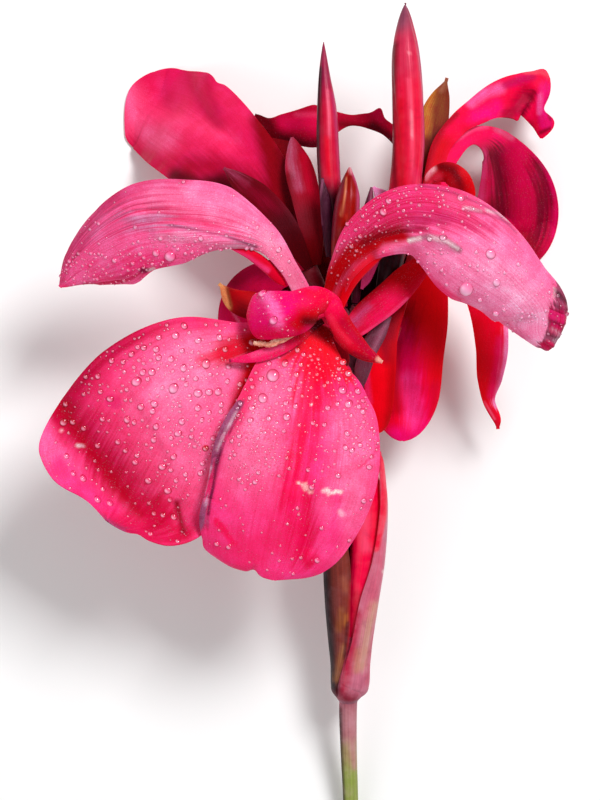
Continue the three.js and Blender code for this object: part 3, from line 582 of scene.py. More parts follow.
PETALS["front_labellum"] = dict(
    slot="petal_pink", colour=0xFA327C, blunt=14, wave=(0.8, 2.5), frill=0.3,
    tip=[(0.2, 0.02, 0.05), (0.42, -0.008, 0.12), (-0.3, 0.01, 0.3)],
    nicks=[(1, 0.97, -0.2, 0.04)], seed=9,
    folds=[
        (-1.2, 2.6, [0, 24, -1, 8, -4.5, -6]), (-0.9, 2.2, [-1.5, -10, -1.5, -24]),
        (-0.7, 0.9, [18, 4, 15.5, 0.5, 12, -2]), (0.7, 1.1, [-24.5, 10, -28, 2, -30.4, -6, -31.4, -15]),
        (-0.6, 0.5, [-24.4, 8, -25.6, 7]), (-0.6, 0.5, [-26, 1, -28.4, 0.6]),
        (-0.6, 0.5, [-27.4, -5, -30, -6]), (-0.6, 0.5, [-28, -11, -30.4, -10.4]),
    ],
    washes=[
        (0xFC70A0, 0.92, 8, 6, [-13, 19, -16, 8, -17, -3]),
        (0xFC6CA0, 0.92, 6, 5, [10, 10, 11, -2, 9, -12]), (0xFC6098, 0.5, 5, 5, [12, -18, 8, -24]),
        (0xFA3E82, 0.6, 9, 7, [-16, -12, -14, -22]),
        (0xF00A54, 0.6, 6, 6, [-14, -24, -8, -22, -20, -26], 3),
        (0xF81C60, 0.8, 2, 2, [-15.5, 26, -19, 18, -21, 12]),
        # Deeper reds round the throat: partly its own colour and partly painted shade under the stamen.
        (0xF00014, 1, 5.5, 3.5, [1, 35, 1.5, 30, 2.4, 26], 2.4),
        (0xE20006, 0.9, 1.8, 2, [-2, 32, 3, 30, 6, 30]),
        (0xEC0010, 0.9, 1.6, 1.6, [4, 31, 8, 26.5, 9.5, 22.5], 1),
        (0xFA0834, 0.9, 4, 3.4, [0, 26, 0, 19], 3),
        (0xF20A46, 0.92, 2, 2.2, [-1.5, 19, -2.5, 11, -4, 4, -6, -3, -7, -11], 2),
        (0xF41854, 0.6, 1.2, 1.8, [1, 16.5, 0.5, 8, -0.5, 1], 1.4),
        (0xF00E56, 0.75, 3, 3, [-7, -6, -6, -14, -4.5, -21], 2.4),
        (0xE20042, 0.95, 1.8, 1.8, [-1.5, -11, -1.8, -18, -2.4, -25, -2.6, -28], 1.2),
        (0xFA2E7E, 0.7, 2, 2, [6, -10, 5, -24], 1),
        (0xCE1E5A, 0.85, 3.4, 1.4, [-23.4, 13, -28, 4, -31, -6, -32.6, -17], 0.8),
        (0x964870, 0.96, 2.4, 0.7, [-22.4, 14.5, -26.9, 7, -30, -0.5, -31.8, -8, -32.6, -17], 1.4),
        # Painted sheen on the rolled margin, and along its fold a painted shadow line.
        (0xCE9CB0, 0.8, 0.3, 0.35, [-21.6, 13, -24.4, 8, -27, 3], 0.5),
        (0xCE96B4, 0.75, 0.7, 0.5, [-28.6, -2, -30, -6, -30.4, -12], 1.2),
        (0x600E38, 0.85, 0.3, 0.35, [-20.5, 12.5, -24.6, 5, -27.2, -1.5, -28.4, -9, -29.4, -15], 0.6),
        (0xFA0854, 0.9, 0.9, 0.5, [-27, -17, -25.2, -19, -22.5, -23], 0.3),
        # Painted highlights: the near-white lines here.
        (0xFEB8B8, 0.98, 0.4, 0.35, [-4.4, -6.2, -3.2, -6.9, -2.4, -6.8], 0.3),
        (0xFEB8B8, 0.95, 0.75, 0.35, [-2.4, -7.6, -1.4, -7.6, -1.2, -8.6], 0.3),
        (0xFFC4CC, 0.98, 0.5, 0.35, [2.4, -8.4, 3.6, -8.2, 4.5, -9, 6, -8.6, 7.2, -8.8], 0.3),
        (0xFFBEC8, 0.9, 0.35, 0.3, [3.4, -8.4, 3.8, -9.6]),
        (0xFCA0BE, 0.85, 0.6, 0.6, [7, -14.2, 7.6, -15]),
        # Painted shade in the crease on the right.
        (0xE21E60, 0.7, 0.35, 0.4, [18, 4, 15.5, 0.5, 12, -2.5]),
        (0xE21054, 0.5, 0.9, 1, [19, 4, 19.4, -1, 18.4, -6]),
        # Painted shadow in the throat under the stamen; the white dot is a painted glint.
        (0x3C0002, 1, 1.9, 1.1, [-0.6, 36.8, 1, 36, 2.8, 35.4]),
        (0x960004, 0.9, 2, 1.6, [-2, 36.6, 4, 34.4]), (0xFFFFFF, 0.9, 0.3, 0.25, [-0.9, 15.1]),
        (0xD80012, 0.95, 1.2, 1.4, [-4, 31, -8.5, 27.5]),
    ],
    veins=[0.22, (0.5, 5, 6, [-3, 14, -5, -4, -3, -26]), (0.4, 5, 4, [8, 8, 6, -8])],
    mist=[
        0.45, (1, 9, 6, [-18, 4, -16, -2, -10, 4]), (0.9, 6, 5, [8, 12, 12, 2]),
        (1, 2.6, 0.8, [-23, 11, -28, 2, -30.5, -6, -31.5, -18]),
    ],
    drops=[
        0.06, (1, 7, 5, [-4, 24, -12, 16, -16, 8, -14, 0]), (1, 5, 4, [8, 22, 12, 12, 13, 4]),
        (0.4, 6, 5, [-6, 8, 4, 4]),
    ],
    stations=[
        [1.6, 37.4, 54.6, 2.5, 2.5], [-0.4, 30.9, 57, 7.8, 8.3], [-1.8, 25.4, 58.5, 13.3, 13.8],
        [-2.6, 18.7, 60.5, 17.7, 17.1, 0, -10, -8], [-3.2, 11, 62, 21.2, 20.6, 0, -12, -8],
        [-4.8, 0, 63, 23.1, 23.4, 0, -15, -10], [-7, -11, 62, 22.4, 23.4, 0, -15, -15],
        [-9.2, -22.2, 59.5, 19.6, 24.8, 0, -20, -20], [-11.5, -33.7, 56, 16.2, 25.8, 0, -25, -25],
    ])
PETALS["front_staminode_lower"] = dict(
    slot="petal_pink", colour=0xF63C7C, blunt=14, wave=(1, 2.2), frill=0.4,
    tip=[(0.3, 0.036, 0.3), (-0.75, -0.028, 0.25), (-0.35, 0.012, 0.08)],
    seed=4,
    folds=[
        (-3, 5.5, [-72, 14, -66, 6.5, -60.5, 0, -56, -6.5, -51.5, -12.5, -47.5, -17]),
        (-0.9, 1.6, [-37.5, -13, -36, -20]), (0.5, 1.6, [-50, 20, -44, 10, -38, -2]),
        (0.4, 1.2, [-42, 28, -37, 18, -33, 6]),
    ],
    washes=[
        (0xFC689C, 0.92, 15, 8, [-32, 25, -39, 13, -39, 3]), (0xFD8CBA, 0.6, 5, 6, [-31, 29, -38, 19]),
        (0xEC2864, 0.7, 8, 7, [-64, 22, -56, 10, -48, -3, -42, -14], 2),
        (0xE21458, 0.92, 3.4, 3, [-56, 34, -48, 37.6, -40, 39.6, -33, 40.6], 1.4),
        (0xEC1E64, 0.7, 2.4, 2.6, [-34, 37.6, -24, 38, -18, 36], 1),
        # Painted shade along the upper-left margin.
        (0xC80642, 0.97, 6, 5, [-73, 14, -68, 22, -61.5, 30.5, -54, 36.5, -46, 41], 2.4),
        (0xAA0030, 0.95, 3, 3, [-72, 15, -66, 24, -59.5, 31.5, -52, 37.5], 1.6),
        # Painted shade in the fold across the blade.
        (0xD40848, 0.95, 5, 4.5, [-70, 14, -63, 5, -57, -3, -50, -11, -46.5, -17], 2.6),
        (0xB80026, 1, 2.3, 2.4,
         [-69.5, 14, -65.5, 6.5, -60.5, 0, -55.5, -6.5, -50.5, -13.5, -46, -19], 1.4),
        (0xFC5898, 0.95, 3.4, 1.6, [-76.5, 9, -74, 3, -69, -4.5]),
        (0xFA3280, 0.92, 3.4, 2, [-71, -3, -64.5, -10, -58, -15.5], 1),
        (0xDE1454, 0.9, 3.2, 2.6, [-56, -18, -48, -20, -40, -22.5], 2),
        (0xC41E5A, 0.85, 1.1, 1.1, [-64.5, -12.8, -57, -18, -50, -21.5], 0.8),
        (0xCE063E, 0.92, 3.4, 2.6, [-45, -13, -41, -18, -36, -21], 1.8),
        # Painted shade in a crease.
        (0x8C0012, 0.95, 0.8, 0.9, [-38.5, -12, -37.5, -16.5, -36.6, -20]),
        # The reds here are painted shadow cast by the stamen and the labellum.
        (0xC4000A, 1, 3.2, 2, [-13, 35, -19.5, 31.5, -25, 29.6], 0.8),
        (0xEC143C, 0.8, 1.6, 2.4, [-22, 31, -31, 27.6], 1),
        (0xBA0004, 1, 2.4, 1.8, [-16, 31, -18.5, 22, -21.5, 14]),
        (0x963C68, 0.8, 0.6, 0.7, [-64.5, -12.5, -58, -17, -53, -20], 0.6),
        # Painted glints.
        (0xDEBAC4, 0.85, 0.5, 0.4, [-66, 3.9, -64.4, 3.7], 0.3), (0xF6B0C4, 0.8, 0.45, 0.4, [-70.4, 8]),
        (0xE21E60, 0.8, 1.8, 0.5, [-56, 16.3, -54.8, 15.8]), (0xCE0018, 1, 0.9, 0.2, [-30.2, 3.2]),
    ],
    veins=[0.22, (0.6, 7, 8, [-60, 8, -50, -4, -44, -14])],
    mist=[0.45, (0.8, 12, 10, [-68, 15, -57, 10, -50, -4, -40, -12])],
    drops=[
        0.12, (1, 9, 8, [-50, 30, -36, 24, -40, 12, -32, 6]), (0.6, 5, 5, [-60, 22, -50, 6, -38, -6]),
    ],
    stations=[
        [-0.6, 35.6, 51.6, 2.2, 2.5], [-9, 32.7, 53.5, 4.5, 5.6, 3, 0, -5],
        [-17.9, 29.8, 55.5, 7.8, 8.9, 6, -5, -10], [-30.3, 23.4, 58, 15.5, 18.6, 8, -5, -12],
        [-41.3, 13.2, 59, 22.7, 24.2, 8, -5, -8], [-48.4, 1.2, 56.5, 26.1, 26.7, 6],
        [-53.8, -9.1, 54, 27.6, 27.7, 4, 5, 5], [-57.9, -17.9, 57.2, 26.9, 24.7, 2, 10, 10],
    ])
PETALS["front_staminode_upper_left"] = dict(
    slot="petal_pink", colour=0xFC5C9A, seed=3, frill=0.3,
    folds=[(-1.3, 2.4, [-24, 63.5, -35.5, 65.5, -46, 68.5]), (0.9, 1.8, [-21, 59.5, -31, 61, -43, 63])],
    washes=[
        # Painted light on the upper part, which faces the lamp.
        (0xFC7AAA, 0.95, 6, 5, [-8, 54, -14, 61, -22, 67, -33, 70.5, -42, 71]),
        (0xFD94B8, 0.6, 2.2, 3, [-6, 49, -9, 55, -14, 61]),
        (0xDA3E76, 0.8, 2, 3, [-36, 77, -46, 76, -54, 72.5], 2),
        (0xF03C76, 0.85, 1.1, 1.3, [-20.5, 61, -28.5, 64, -35.5, 65.5, -43.5, 68, -52, 69], 3),
        # Painted shade along the left margin, which turns away from the light.
        (0xD63C78, 0.7, 2.6, 2.4, [-56, 74, -62, 67, -66, 60], 3),
        # Painted mauve sheen below the crest, with a painted shade line in the crease.
        (0xB07496, 0.85, 1.2, 1.4, [-17.5, 59.3, -27, 61.5, -35, 63, -44, 65.4, -54, 67], 2.5),
        (0xE4A8C4, 0.75, 1.2, 1.2, [-19, 58.2, -27, 59.8, -34, 60.6, -42, 61], 2),
        (0x60143C, 0.75, 0.25, 0.4, [-16, 59, -24, 61.2, -31, 62.6, -40, 64.2]),
        (0xCE6E9C, 0.5, 2.4, 2.6, [-45, 66, -54, 67, -62, 63.5], 4),
        # Painted shade along the left margin.
        (0xC42860, 0.85, 2.4, 3, [-72, 51, -69.5, 58, -65, 66, -58.5, 72.5], 4),
        # Painted light on the lower half.
        (0xFC68A2, 0.7, 3.6, 3, [-28, 59, -38, 58.5, -48, 57.5, -58, 55], 2),
        (0xFC327E, 0.85, 2.2, 2.6, [-42, 54.5, -50, 54, -60, 51.5], 3),
        (0xCE0A4C, 0.8, 0.7, 0.9, [-41, 53.2, -48, 51.8, -57, 49, -64, 49.4], 1),
        (0x780432, 0.9, 0.7, 0.5, [-47.8, 52.6, -46.6, 52.6]),
        # A painted glint.
        (0xE2C8CE, 0.8, 0.4, 0.3, [-45.8, 52.6, -44.4, 53]),
        (0xFA2870, 0.9, 0.6, 0.5, [-71.6, 48, -69.5, 48.3]),
    ],
    veins=[0.4, (1, 6, 5, [-20, 60.5, -32, 64, -48, 67.5, -60, 64])],
    mist=[0.3, (1, 6, 5, [-35, 57, -50, 55, -64, 54, -69, 54]), (0.5, 3, 3, [-40, 74, -28, 73])],
    drops=[0.05, (1, 5, 4, [-30, 58, -42, 57, -56, 54, -66, 53]), (0.25, 4, 4, [-12, 58, -24, 66])],
    stations=[
        [-0.6, 40.7, 51.2, 2, 2], [-3.7, 47.2, 53, 2.5, 2.5], [-7.3, 53.4, 55.5, 2.5, 2.6, 0, 0, 10],
        [-14.2, 59.9, 59, 2.8, 5.8, 0, -40, -10], [-24.6, 62.7, 63, 5.8, 12.6, 0, -60, -20],
        [-35.5, 63.6, 65, 10.4, 13.9, 0, -50, -25], [-48, 63.3, 62, 12.3, 13.8, 0, -40, -30],
        [-58.3, 59.7, 57, 14.4, 10, 0, -40, -35], [-66.6, 54, 51, 9.5, 5.6, 0, -40, -40],
        [-71.5, 48.3, 47, 2.2, 1.4, 0, -30, -30],
    ],
    parts=[dict(
        spacing=0.35, colour=0xD80028,
        washes=[(0xFA3C82, 0.8, 0.6, 0.6, [-24, 58.2, -18, 55.8, -13, 52.6])],
        veins=[0.3],
        stations=[
            [-25.5, 60, 60.5, 0.5, 0.5], [-18.5, 57.2, 58.5, 1.4, 1.4, 0, -40, -40],
            [-14, 54.2, 56.5, 1.7, 1.7, 0, -40, -40], [-10.5, 50.8, 54.5, 1.5, 1.5, 0, -40, -40],
            [-8, 48.3, 53, 0.8, 0.8],
        ])])
PETALS["front_staminode_upper_right"] = dict(
    slot="petal_pink", colour=0xFC609C, seed=6, nicks=[(1, 0.945, -0.5, 0.035)], frill=0.3,
    folds=[
        (-1.8, 3, [4.5, 47, 8.5, 55, 15.5, 60.5, 23.5, 63, 33, 64.5]),
        (1.1, 1.5, [18, 57, 24, 59, 32, 60.3, 38, 59]),
        (-0.8, 0.8, [66.6, 48, 65.6, 42, 65.2, 36, 64, 31]), (0.8, 1.4, [69.5, 44, 69.5, 38, 67.5, 32]),
        (0.7, 0.5, [66.2, 44, 71.5, 42]), (0.7, 0.5, [66, 39.5, 72, 38]),
        (0.7, 0.5, [65.6, 36, 70.5, 34]), (0.6, 0.4, [65, 33.2, 68.5, 31.4]),
        (-0.6, 0.5, [66, 41.6, 72, 40]), (0.5, 0.5, [53, 36.6, 55, 34]), (0.5, 0.5, [58, 34, 60, 31.6]),
    ],
    washes=[
        # Painted light on the lower part, which faces the lamp.
        (0xFFA8D0, 0.97, 7, 6, [46, 51, 52, 46, 59, 40, 65, 33]),
        (0xFD84B6, 0.85, 5, 5, [34, 57, 42, 50, 50, 42, 58, 35]),
        (0xFC80B2, 0.7, 4, 5, [44, 62, 54, 57, 62, 48]),
        (0xE83272, 0.92, 7, 5, [10, 64, 20, 71, 30, 72.5, 38, 71], 4),
        (0xD81C5C, 0.6, 3, 3, [20, 67, 30, 69, 40, 69], 3),
        (0xF06496, 0.6, 2.5, 3, [38, 71.5, 46, 69, 54, 63.5], 2),
        # Painted shade in the channel.
        (0xBA0008, 1, 3.4, 2, [2, 45, 5, 51, 9.5, 56, 16, 59.8, 23, 61.3], 0.5),
        (0x78000E, 0.9, 1.2, 1.4, [14, 60, 18, 61.6, 23.5, 62.8, 30, 63.8], 1),
        (0xCE2864, 0.8, 1.8, 2, [28, 65, 38, 65.5, 48, 63.5], 2),
        (0xE80214, 0.9, 1.3, 1, [6, 42.5, 8.5, 48, 11.5, 51.5, 16, 55.3]),
        (0xFA70A4, 0.9, 1.5, 1.4, [20, 57.5, 27, 58.2, 34, 56]),
        (0xFC1E6C, 0.9, 1.4, 1.6, [20, 55.6, 27, 51.5, 35, 46.5, 42, 41.5, 48, 38], 1),
        # Painted sheen and highlights along the crest.
        (0x965A6E, 0.85, 0.8, 0.6, [26.5, 60.2, 31, 61, 36.5, 59.6, 39.5, 57.6]),
        (0xE8CED2, 0.9, 0.4, 0.35, [26, 60, 29, 60.6]),
        (0xE2BEC8, 0.9, 0.4, 0.35, [31.5, 60.9, 36, 59.8, 39, 58]),
        # Painted sheen lines on the upper part, with painted shade lines under them and along the top
        # edge.
        (0xD6B0BE, 0.85, 0.45, 0.4, [41, 69, 45.5, 68.2]),
        (0xD6B0BE, 0.85, 0.45, 0.4, [47, 68.4, 50, 67.8, 54, 65.6]),
        (0x962854, 0.6, 0.3, 0.4, [41, 68.2, 47, 67.4, 54, 64.8]),
        (0x96285A, 0.6, 0.35, 0.5, [29, 75.3, 38.5, 73, 48.5, 68.8, 55.5, 62.5]),
        (0x964260, 0.97, 4.2, 0.5, [71, 46.5, 70.3, 41, 69, 35, 66.5, 29.5], 1.1),
        (0xCE0E5C, 0.92, 1.8, 0.9, [66.6, 40.6, 69, 40, 68, 37], 0.8),
        (0xCE0A50, 0.92, 1.1, 0.6, [64.6, 32.2, 66, 31.6], 0.4),
        (0xF05A96, 0.85, 0.5, 0.5, [71.8, 40, 71, 37], 0.4),
        # A painted highlight on the flap's edge.
        (0xC8AAB0, 0.7, 0.4, 0.4, [66.8, 47.6, 66.6, 45], 0.5),
        # Painted shade in the flap's creases.
        (0x3C101E, 0.85, 0.5, 0.5, [68, 46.4, 69.4, 44.6, 71.6, 43], 0.6),
        (0x3C101E, 0.8, 0.4, 0.5, [69.6, 36, 70.4, 34.4], 0.6),
        # A painted highlight on the flap.
        (0xBE96A6, 0.7, 0.4, 0.5, [67, 36.4, 69, 34.6, 67.4, 33.2], 0.6),
        (0xAA5A6E, 0.85, 0.9, 0.6, [51, 36.2, 55, 34, 59, 31.2, 63, 29.4], 0.8),
        (0x5A1428, 0.85, 0.35, 0.4, [52, 36, 56, 33.2, 60, 30.6], 0.6),
        (0xE23C7C, 0.7, 1.4, 1.2, [47, 38.8, 54, 35.6, 58, 33.6], 0.8),
    ],
    veins=[0.35, (1, 8, 5, [14, 66, 24, 70, 40, 69.5]), (1, 3, 1, [70, 44, 68, 33])],
    mist=[0.3, (0.8, 8, 6, [10, 63, 22, 70, 36, 72]), (0.6, 8, 6, [40, 52, 56, 42])],
    drops=[0.1, (1, 5, 4, [9, 62, 18, 70, 30, 73, 40, 69]), (0.5, 6, 6, [34, 58, 48, 52, 60, 42])],
    stations=[
        [3.8, 41.5, 51.8, 2, 2], [5.7, 47.1, 54, 3.1, 3.1, 0, 20, 20],
        [8.2, 53.1, 57.5, 4.2, 3.9, 0, 20, 20], [14.7, 61.1, 62.5, 7.2, 6.6, 0, 10, -10],
        [25.5, 65.7, 66, 9.8, 10.9, 0, -20, -45], [37.5, 63.5, 67, 11.5, 16.4, 0, -35, -50],
        [49.5, 56.6, 64, 10.4, 18.7, 0, -40, -50], [59.1, 48.1, 58, 7.8, 15.8, 0, -40, -55],
        [64.8, 41, 52.5, 7.2, 14.8, 0, -40, -55], [65.6, 30.4, 47, 3.2, 8.4, 0, -45, -50],
    ],
    parts=[dict(
        spacing=0.35, colour=0xE80216,
        washes=[(0xF61E54, 0.8, 0.6, 0.6, [10.3, 45, 13, 49, 17, 53.4])],
        veins=[0.3],
        stations=[
            [7, 41, 52.5, 0.6, 0.6], [9, 47, 54.5, 1.5, 1.5, 0, -40, -40],
            [11.5, 50.8, 57, 1.6, 1.6, 0, -40, -40], [15.5, 54.7, 60, 1.5, 1.5, 0, -40, -40],
            [19.5, 57, 62, 0.5, 0.5],
        ])])
PETALS["front_stamen"] = dict(
    slot="petal_rose", colour=0xF60470, blunt=60, seed=5, frill=0.25,
    folds=[(0.7, 2.2, [-13.6, 46, -11, 38])],
    washes=[
        (0xD60022, 0.95, 1.4, 1.8, [-19, 47, -19.2, 40, -18.6, 33]),
        (0xF00034, 0.9, 5, 4, [0, 46, 4, 42.5, 7, 41]), (0xEA003C, 0.8, 2, 2, [-16, 34, -8, 35]),
        # A painted highlight.
        (0xFA78BE, 0.8, 1.3, 1.6, [-12.8, 44.6, -11.3, 42, -9.8, 38], 0.5),
        # Painted shade under the hood.
        (0xCE000A, 0.97, 2.6, 2, [-5, 37, -3, 39.5, 0, 39.5, 3, 39]),
        (0xEC145A, 0.85, 1, 1, [-6.4, 35.4, -8, 34.6]),
        # Painted shadow in the hollow under the hood.
        (0x600004, 0.97, 1.3, 1.3, [-2.6, 38.2, 0, 38, 3, 38.6]),
        (0xD80A2C, 0.9, 1.2, 1.2, [3.4, 42, 6.4, 39.6]),
        (0xFA1E7E, 0.6, 1, 1, [-13, 48, -4, 48.8, 0, 47.5]),
    ],
    veins=[0.2], mist=[0.5, (1, 4, 3, [-12.5, 46, -10.5, 38])],
    drops=[0.2, (1, 4, 4, [-12, 44, -8, 38])],
    stations=[
        [4.2, 38.6, 53.4, 1.1, 1.1], [5.6, 40.2, 57, 2.4, 2.2], [4.9, 42.9, 62, 3, 2.6, 0, -20, -20],
        [0.6, 43.6, 66.5, 4.8, 4.6, 0, -40, -40], [-5.6, 40.8, 68.5, 7.7, 6.5, 0, -60, -50],
        [-12.7, 39.7, 67.5, 7.8, 7.4, 0, -60, -50], [-18.6, 39.7, 62, 6.4, 6.6, 0, -35, -30],
    ])
PETALS["front_stamen_lobe"] = dict(
    slot="petal_crimson", colour=0xF01A62,
    washes=[
        # Painted shade at its foot, under the stamen's hood.
        (0xCE0218, 0.9, 4, 4, [0, 37.5, -4, 34]), (0x460004, 1, 2.2, 1.4, [3, 38.6, 0, 37]),
        (0xE2144C, 0.8, 1.2, 1.2, [-6, 32.4, -11, 30.2]),
        (0xFA508C, 0.8, 0.7, 0.7, [-9, 31.2, -17, 28.8]), (0x780628, 0.9, 0.5, 0.4, [-23.4, 27.3]),
    ],
    veins=[0.2], mist=[1],
    stations=[
        [2.4, 38.4, 55.9, 0.8, 0.8], [-0.9, 36.5, 56.6, 1.1, 1.1], [-4.6, 33.4, 59, 1.4, 1.4],
        [-9, 30.9, 59.8, 1.7, 1.7], [-14.5, 28.9, 59.9, 1.7, 1.7], [-19.7, 27.8, 59.6, 1.1, 1.1],
        [-23.6, 27.3, 59.3, 0.5, 0.5],
    ])
PETALS["front_style"] = dict(
    slot="petal_rose", colour=0xC4001A,
    washes=[
        (0xDC022C, 0.9, 1.4, 1.4, [4, 42, 5, 38, 8, 34.4, 11.5, 31.5]),
        (0xF6044C, 0.95, 3.4, 2.6, [3.4, 45, 5.4, 42.6]),
        # A painted highlight line.
        (0xF4284A, 0.7, 0.5, 0.9, [4.4, 39.6, 6.4, 36, 9.6, 32.6]),
        (0xAA0014, 0.85, 0.8, 0.9, [8.6, 30, 12, 27.6]),
        (0xBE0032, 0.85, 0.9, 0.9, [7.6, 38, 10.4, 34.4, 14, 30.8, 17, 28.6]),
        (0x960022, 0.8, 0.5, 0.6, [11, 29.6, 14.6, 28]),
        (0xEC968C, 0.95, 0.7, 0.6, [17.6, 27.8, 19.4, 26.8]),
    ],
    veins=[0.3], mist=[0.4],
    stations=[
        [4.8, 35.8, 52.4, 1, 1], [5.6, 36.4, 56, 0.9, 2.4], [7, 35.8, 59.6, 3, 2.8, 0, -20, -20],
        [10, 32.6, 60.2, 2.9, 2.9, 0, -20, -20], [13.6, 29.6, 59.2, 2.4, 2.2, 0, -20, -20],
        [18.8, 27, 57.2, 0.7, 0.7],
    ])
# A limb joins the stamen's arch to the style.
PETALS["front_stamen"]["parts"] = [dict(
    PETALS["front_style"], spacing=0.35,
    stations=[
        [2.4, 44.2, 61.6, 1.6, 1.6, 0, -10, -10], [4.2, 42.2, 63.4, 2.6, 2.4, 0, -20, -20],
        [5.9, 39.6, 62.8, 3, 2.8, 0, -25, -25], [8, 36, 61.6, 3.1, 3, 0, -20, -20],
        [10.8, 32.4, 60.9, 2.9, 2.8, 0, -20, -20], [14, 29.6, 59.8, 2.1, 2, 0, -20, -20],
        [17, 27.8, 58.6, 0.9, 0.9],
    ])]
PETALS["front_petal_left"] = dict(
    slot="petal_crimson", colour=0x8C0004, blunt=8,
    washes=[
        (0xDA8E58, 0.98, 1.4, 0.8, [-26.8, 49.4, -25.6, 46.5, -24.6, 42.8]),
        (0x6E280A, 0.8, 0.35, 0.4, [-24.2, 47.4, -23.2, 43]),
        # The near-black wash is painted shade under the stamen.
        (0x600002, 0.85, 2, 2, [-20, 41, -15, 40]), (0xBA0208, 0.7, 1.5, 1.5, [-21, 47, -17, 45]),
    ],
    veins=[0.3],
    stations=[
        [-0.9, 38.9, 49.1, 1.4, 1.4], [-7.4, 40.3, 50, 2.2, 3.4, 0, 0, -10],
        [-12.9, 41.4, 51.5, 2.5, 3.9, 0, -10, -20], [-18.5, 43, 52, 3.9, 4.2, 0, -20, -20],
        [-23, 45.6, 51, 3.6, 2.5, 0, -20, -20], [-26.7, 49.1, 48, 0.6, 0.6],
    ])
PETALS["front_petal_right"] = dict(
    slot="petal_crimson", colour=0xDA063E,
    washes=[
        # Painted mauve sheen.
        (0xBE467C, 0.85, 1.2, 1.4, [9.5, 36, 12.5, 39.5, 15, 42.5], 1),
        (0xF01054, 0.8, 1.8, 1.8, [16, 38.5, 20, 41.5, 24, 46]),
        # Painted shade where the upper-right staminode covers it.
        (0x960008, 0.95, 1.6, 1.4, [11, 42.6, 17, 47.5, 24, 52.5]),
        (0xC40008, 0.95, 4.5, 4, [25, 51, 31, 56, 34.5, 58]),
        # A painted highlight line.
        (0xF64682, 0.7, 0.4, 0.4, [13.5, 35, 20, 39.5, 26, 45]),
    ],
    veins=[0.5], mist=[0.4],
    stations=[
        [5.3, 35.4, 49, 1.4, 1.4], [10.6, 36.7, 48.5, 3.1, 3.1],
        [15.1, 40.4, 48.5, 4.2, 3.9, 0, -15, -15], [21.2, 45.4, 49, 4.5, 4.2, 0, -20, -20],
        [27.4, 51.6, 48.5, 3.9, 3.6, 0, -20, -20], [34.3, 58.2, 46, 1.1, 1.1],
    ])
PETALS["front_petal_back"] = dict(
    slot="petal_crimson", colour=0xC40628, veins=[0.4],
    stations=[
        [0.4, 32.4, 47, 1.1, 1.1], [-1.7, 22.7, 46.5, 3.1, 3.1, 0, -10, -10],
        [-2.3, 10.9, 47, 3.7, 3.7, 0, -20, -20], [-3.2, 1, 46, 2.5, 2.5, 0, -20, -20],
        [-3.7, -6.7, 44, 0.6, 0.6],
    ])


# ---------------------------------------------------------------- left flower

PETALS["left_staminode"] = dict(
    slot="petal_rose", colour=0xE21454, blunt=12,
    nicks=[(1, 0.71, 0.05, 0.02), (1, 0.76, -0.03, 0.03)], seed=8, frill=0.3,
    folds=[
        (1.2, 4, [-50, 100, -40, 96, -28, 90]), (-0.5, 2.4, [-47, 116, -45.6, 109, -43, 103]),
        (-0.7, 2, [-38, 117, -35.4, 108, -31, 99, -24, 92]),
    ],
    washes=[
        # Painted light on the left part.
        (0xFC5A90, 0.85, 4, 5, [-56, 107, -53.5, 101, -49, 96.5, -43, 94]),
        (0xFA326E, 0.85, 4.5, 4.5, [-46, 101, -36, 96.5, -27, 90.5], 1),
        # Painted shade in the folds at the top.
        (0xD6225C, 0.6, 1.2, 2.2, [-47, 116, -45.6, 110, -44, 105]),
        (0xBE0842, 0.8, 1.6, 2.6, [-38.5, 117, -36.6, 110, -33, 103, -28, 97]),
        (0xBA023C, 0.6, 1.2, 2, [-32, 112, -30.5, 106, -28, 101]),
        (0xF02460, 0.6, 2.5, 2.5, [-25.5, 106, -20, 98]),
        (0xF01E5A, 0.8, 2.6, 3, [-36, 91.5, -28.5, 88, -21, 84, -16, 80], 1),
        # Painted shadow cast by the upper-left staminode.
        (0xC4023E, 0.9, 2.8, 2.8, [-55, 92.5, -46, 86, -37, 83], 1),
        (0xAA0028, 0.85, 3, 3, [-36, 84, -28, 84, -20, 81, -14, 77], 1),
        (0x5A0010, 0.97, 2.8, 2, [-40, 81, -33, 78, -26, 79.5, -21, 77.5, -15, 73]),
        # Painted shade beside the petal at its right.
        (0x8C000A, 0.97, 3.4, 2.4, [-14.5, 97, -12, 87, -10.5, 77, -8, 66], 0.6),
        (0x6E0006, 0.9, 1.8, 1.8, [-9, 88, -8, 78, -5, 66]),
    ],
    veins=[0.2], mist=[0.02],
    stations=[
        [-2, 54.2, 36.7, 1.7, 1.7], [-8.3, 65.1, 36, 7.4, 6.9, 0, 10, 10],
        [-16.9, 77.7, 32, 13.2, 11.5, 0, 10, 10], [-26.6, 89, 25, 16.2, 13.6],
        [-37, 98.9, 14, 17.4, 15, 0, -3, -3], [-45.8, 104.9, 2, 17.4, 13.7],
        [-51.1, 107.4, -0.4, 18.9, 12.3], [-55.3, 109.2, -0.4, 15, 9.6],
    ])
PETALS["left_labellum"] = dict(
    slot="petal_maroon", colour=0xC40646, blunt=5,
    washes=[
        (0x6E001E, 0.9, 3, 2.5, [-23, 51, -18, 54, -12, 54]),
        (0xCE0E5A, 0.8, 1.6, 1.6, [-27, 42, -25, 36, -21, 33]),
        # A painted highlight line.
        (0xD6648C, 0.8, 0.3, 0.3, [-24.5, 44, -21, 38, -17, 34.5]),
    ],
    veins=[0.3],
    stations=[
        [-3.6, 52.1, 35.3, 1.7, 1.7], [-11.2, 51.7, 34.5, 4.6, 5.2, 0, -10, -10],
        [-18.9, 46.4, 32, 8, 6.9, 0, -20, -20], [-21.9, 36.7, 28, 8.7, 6.4, 0, -20, -20],
        [-20.9, 25.8, 22, 4.1, 4.1, 0, -10, -10],
    ])
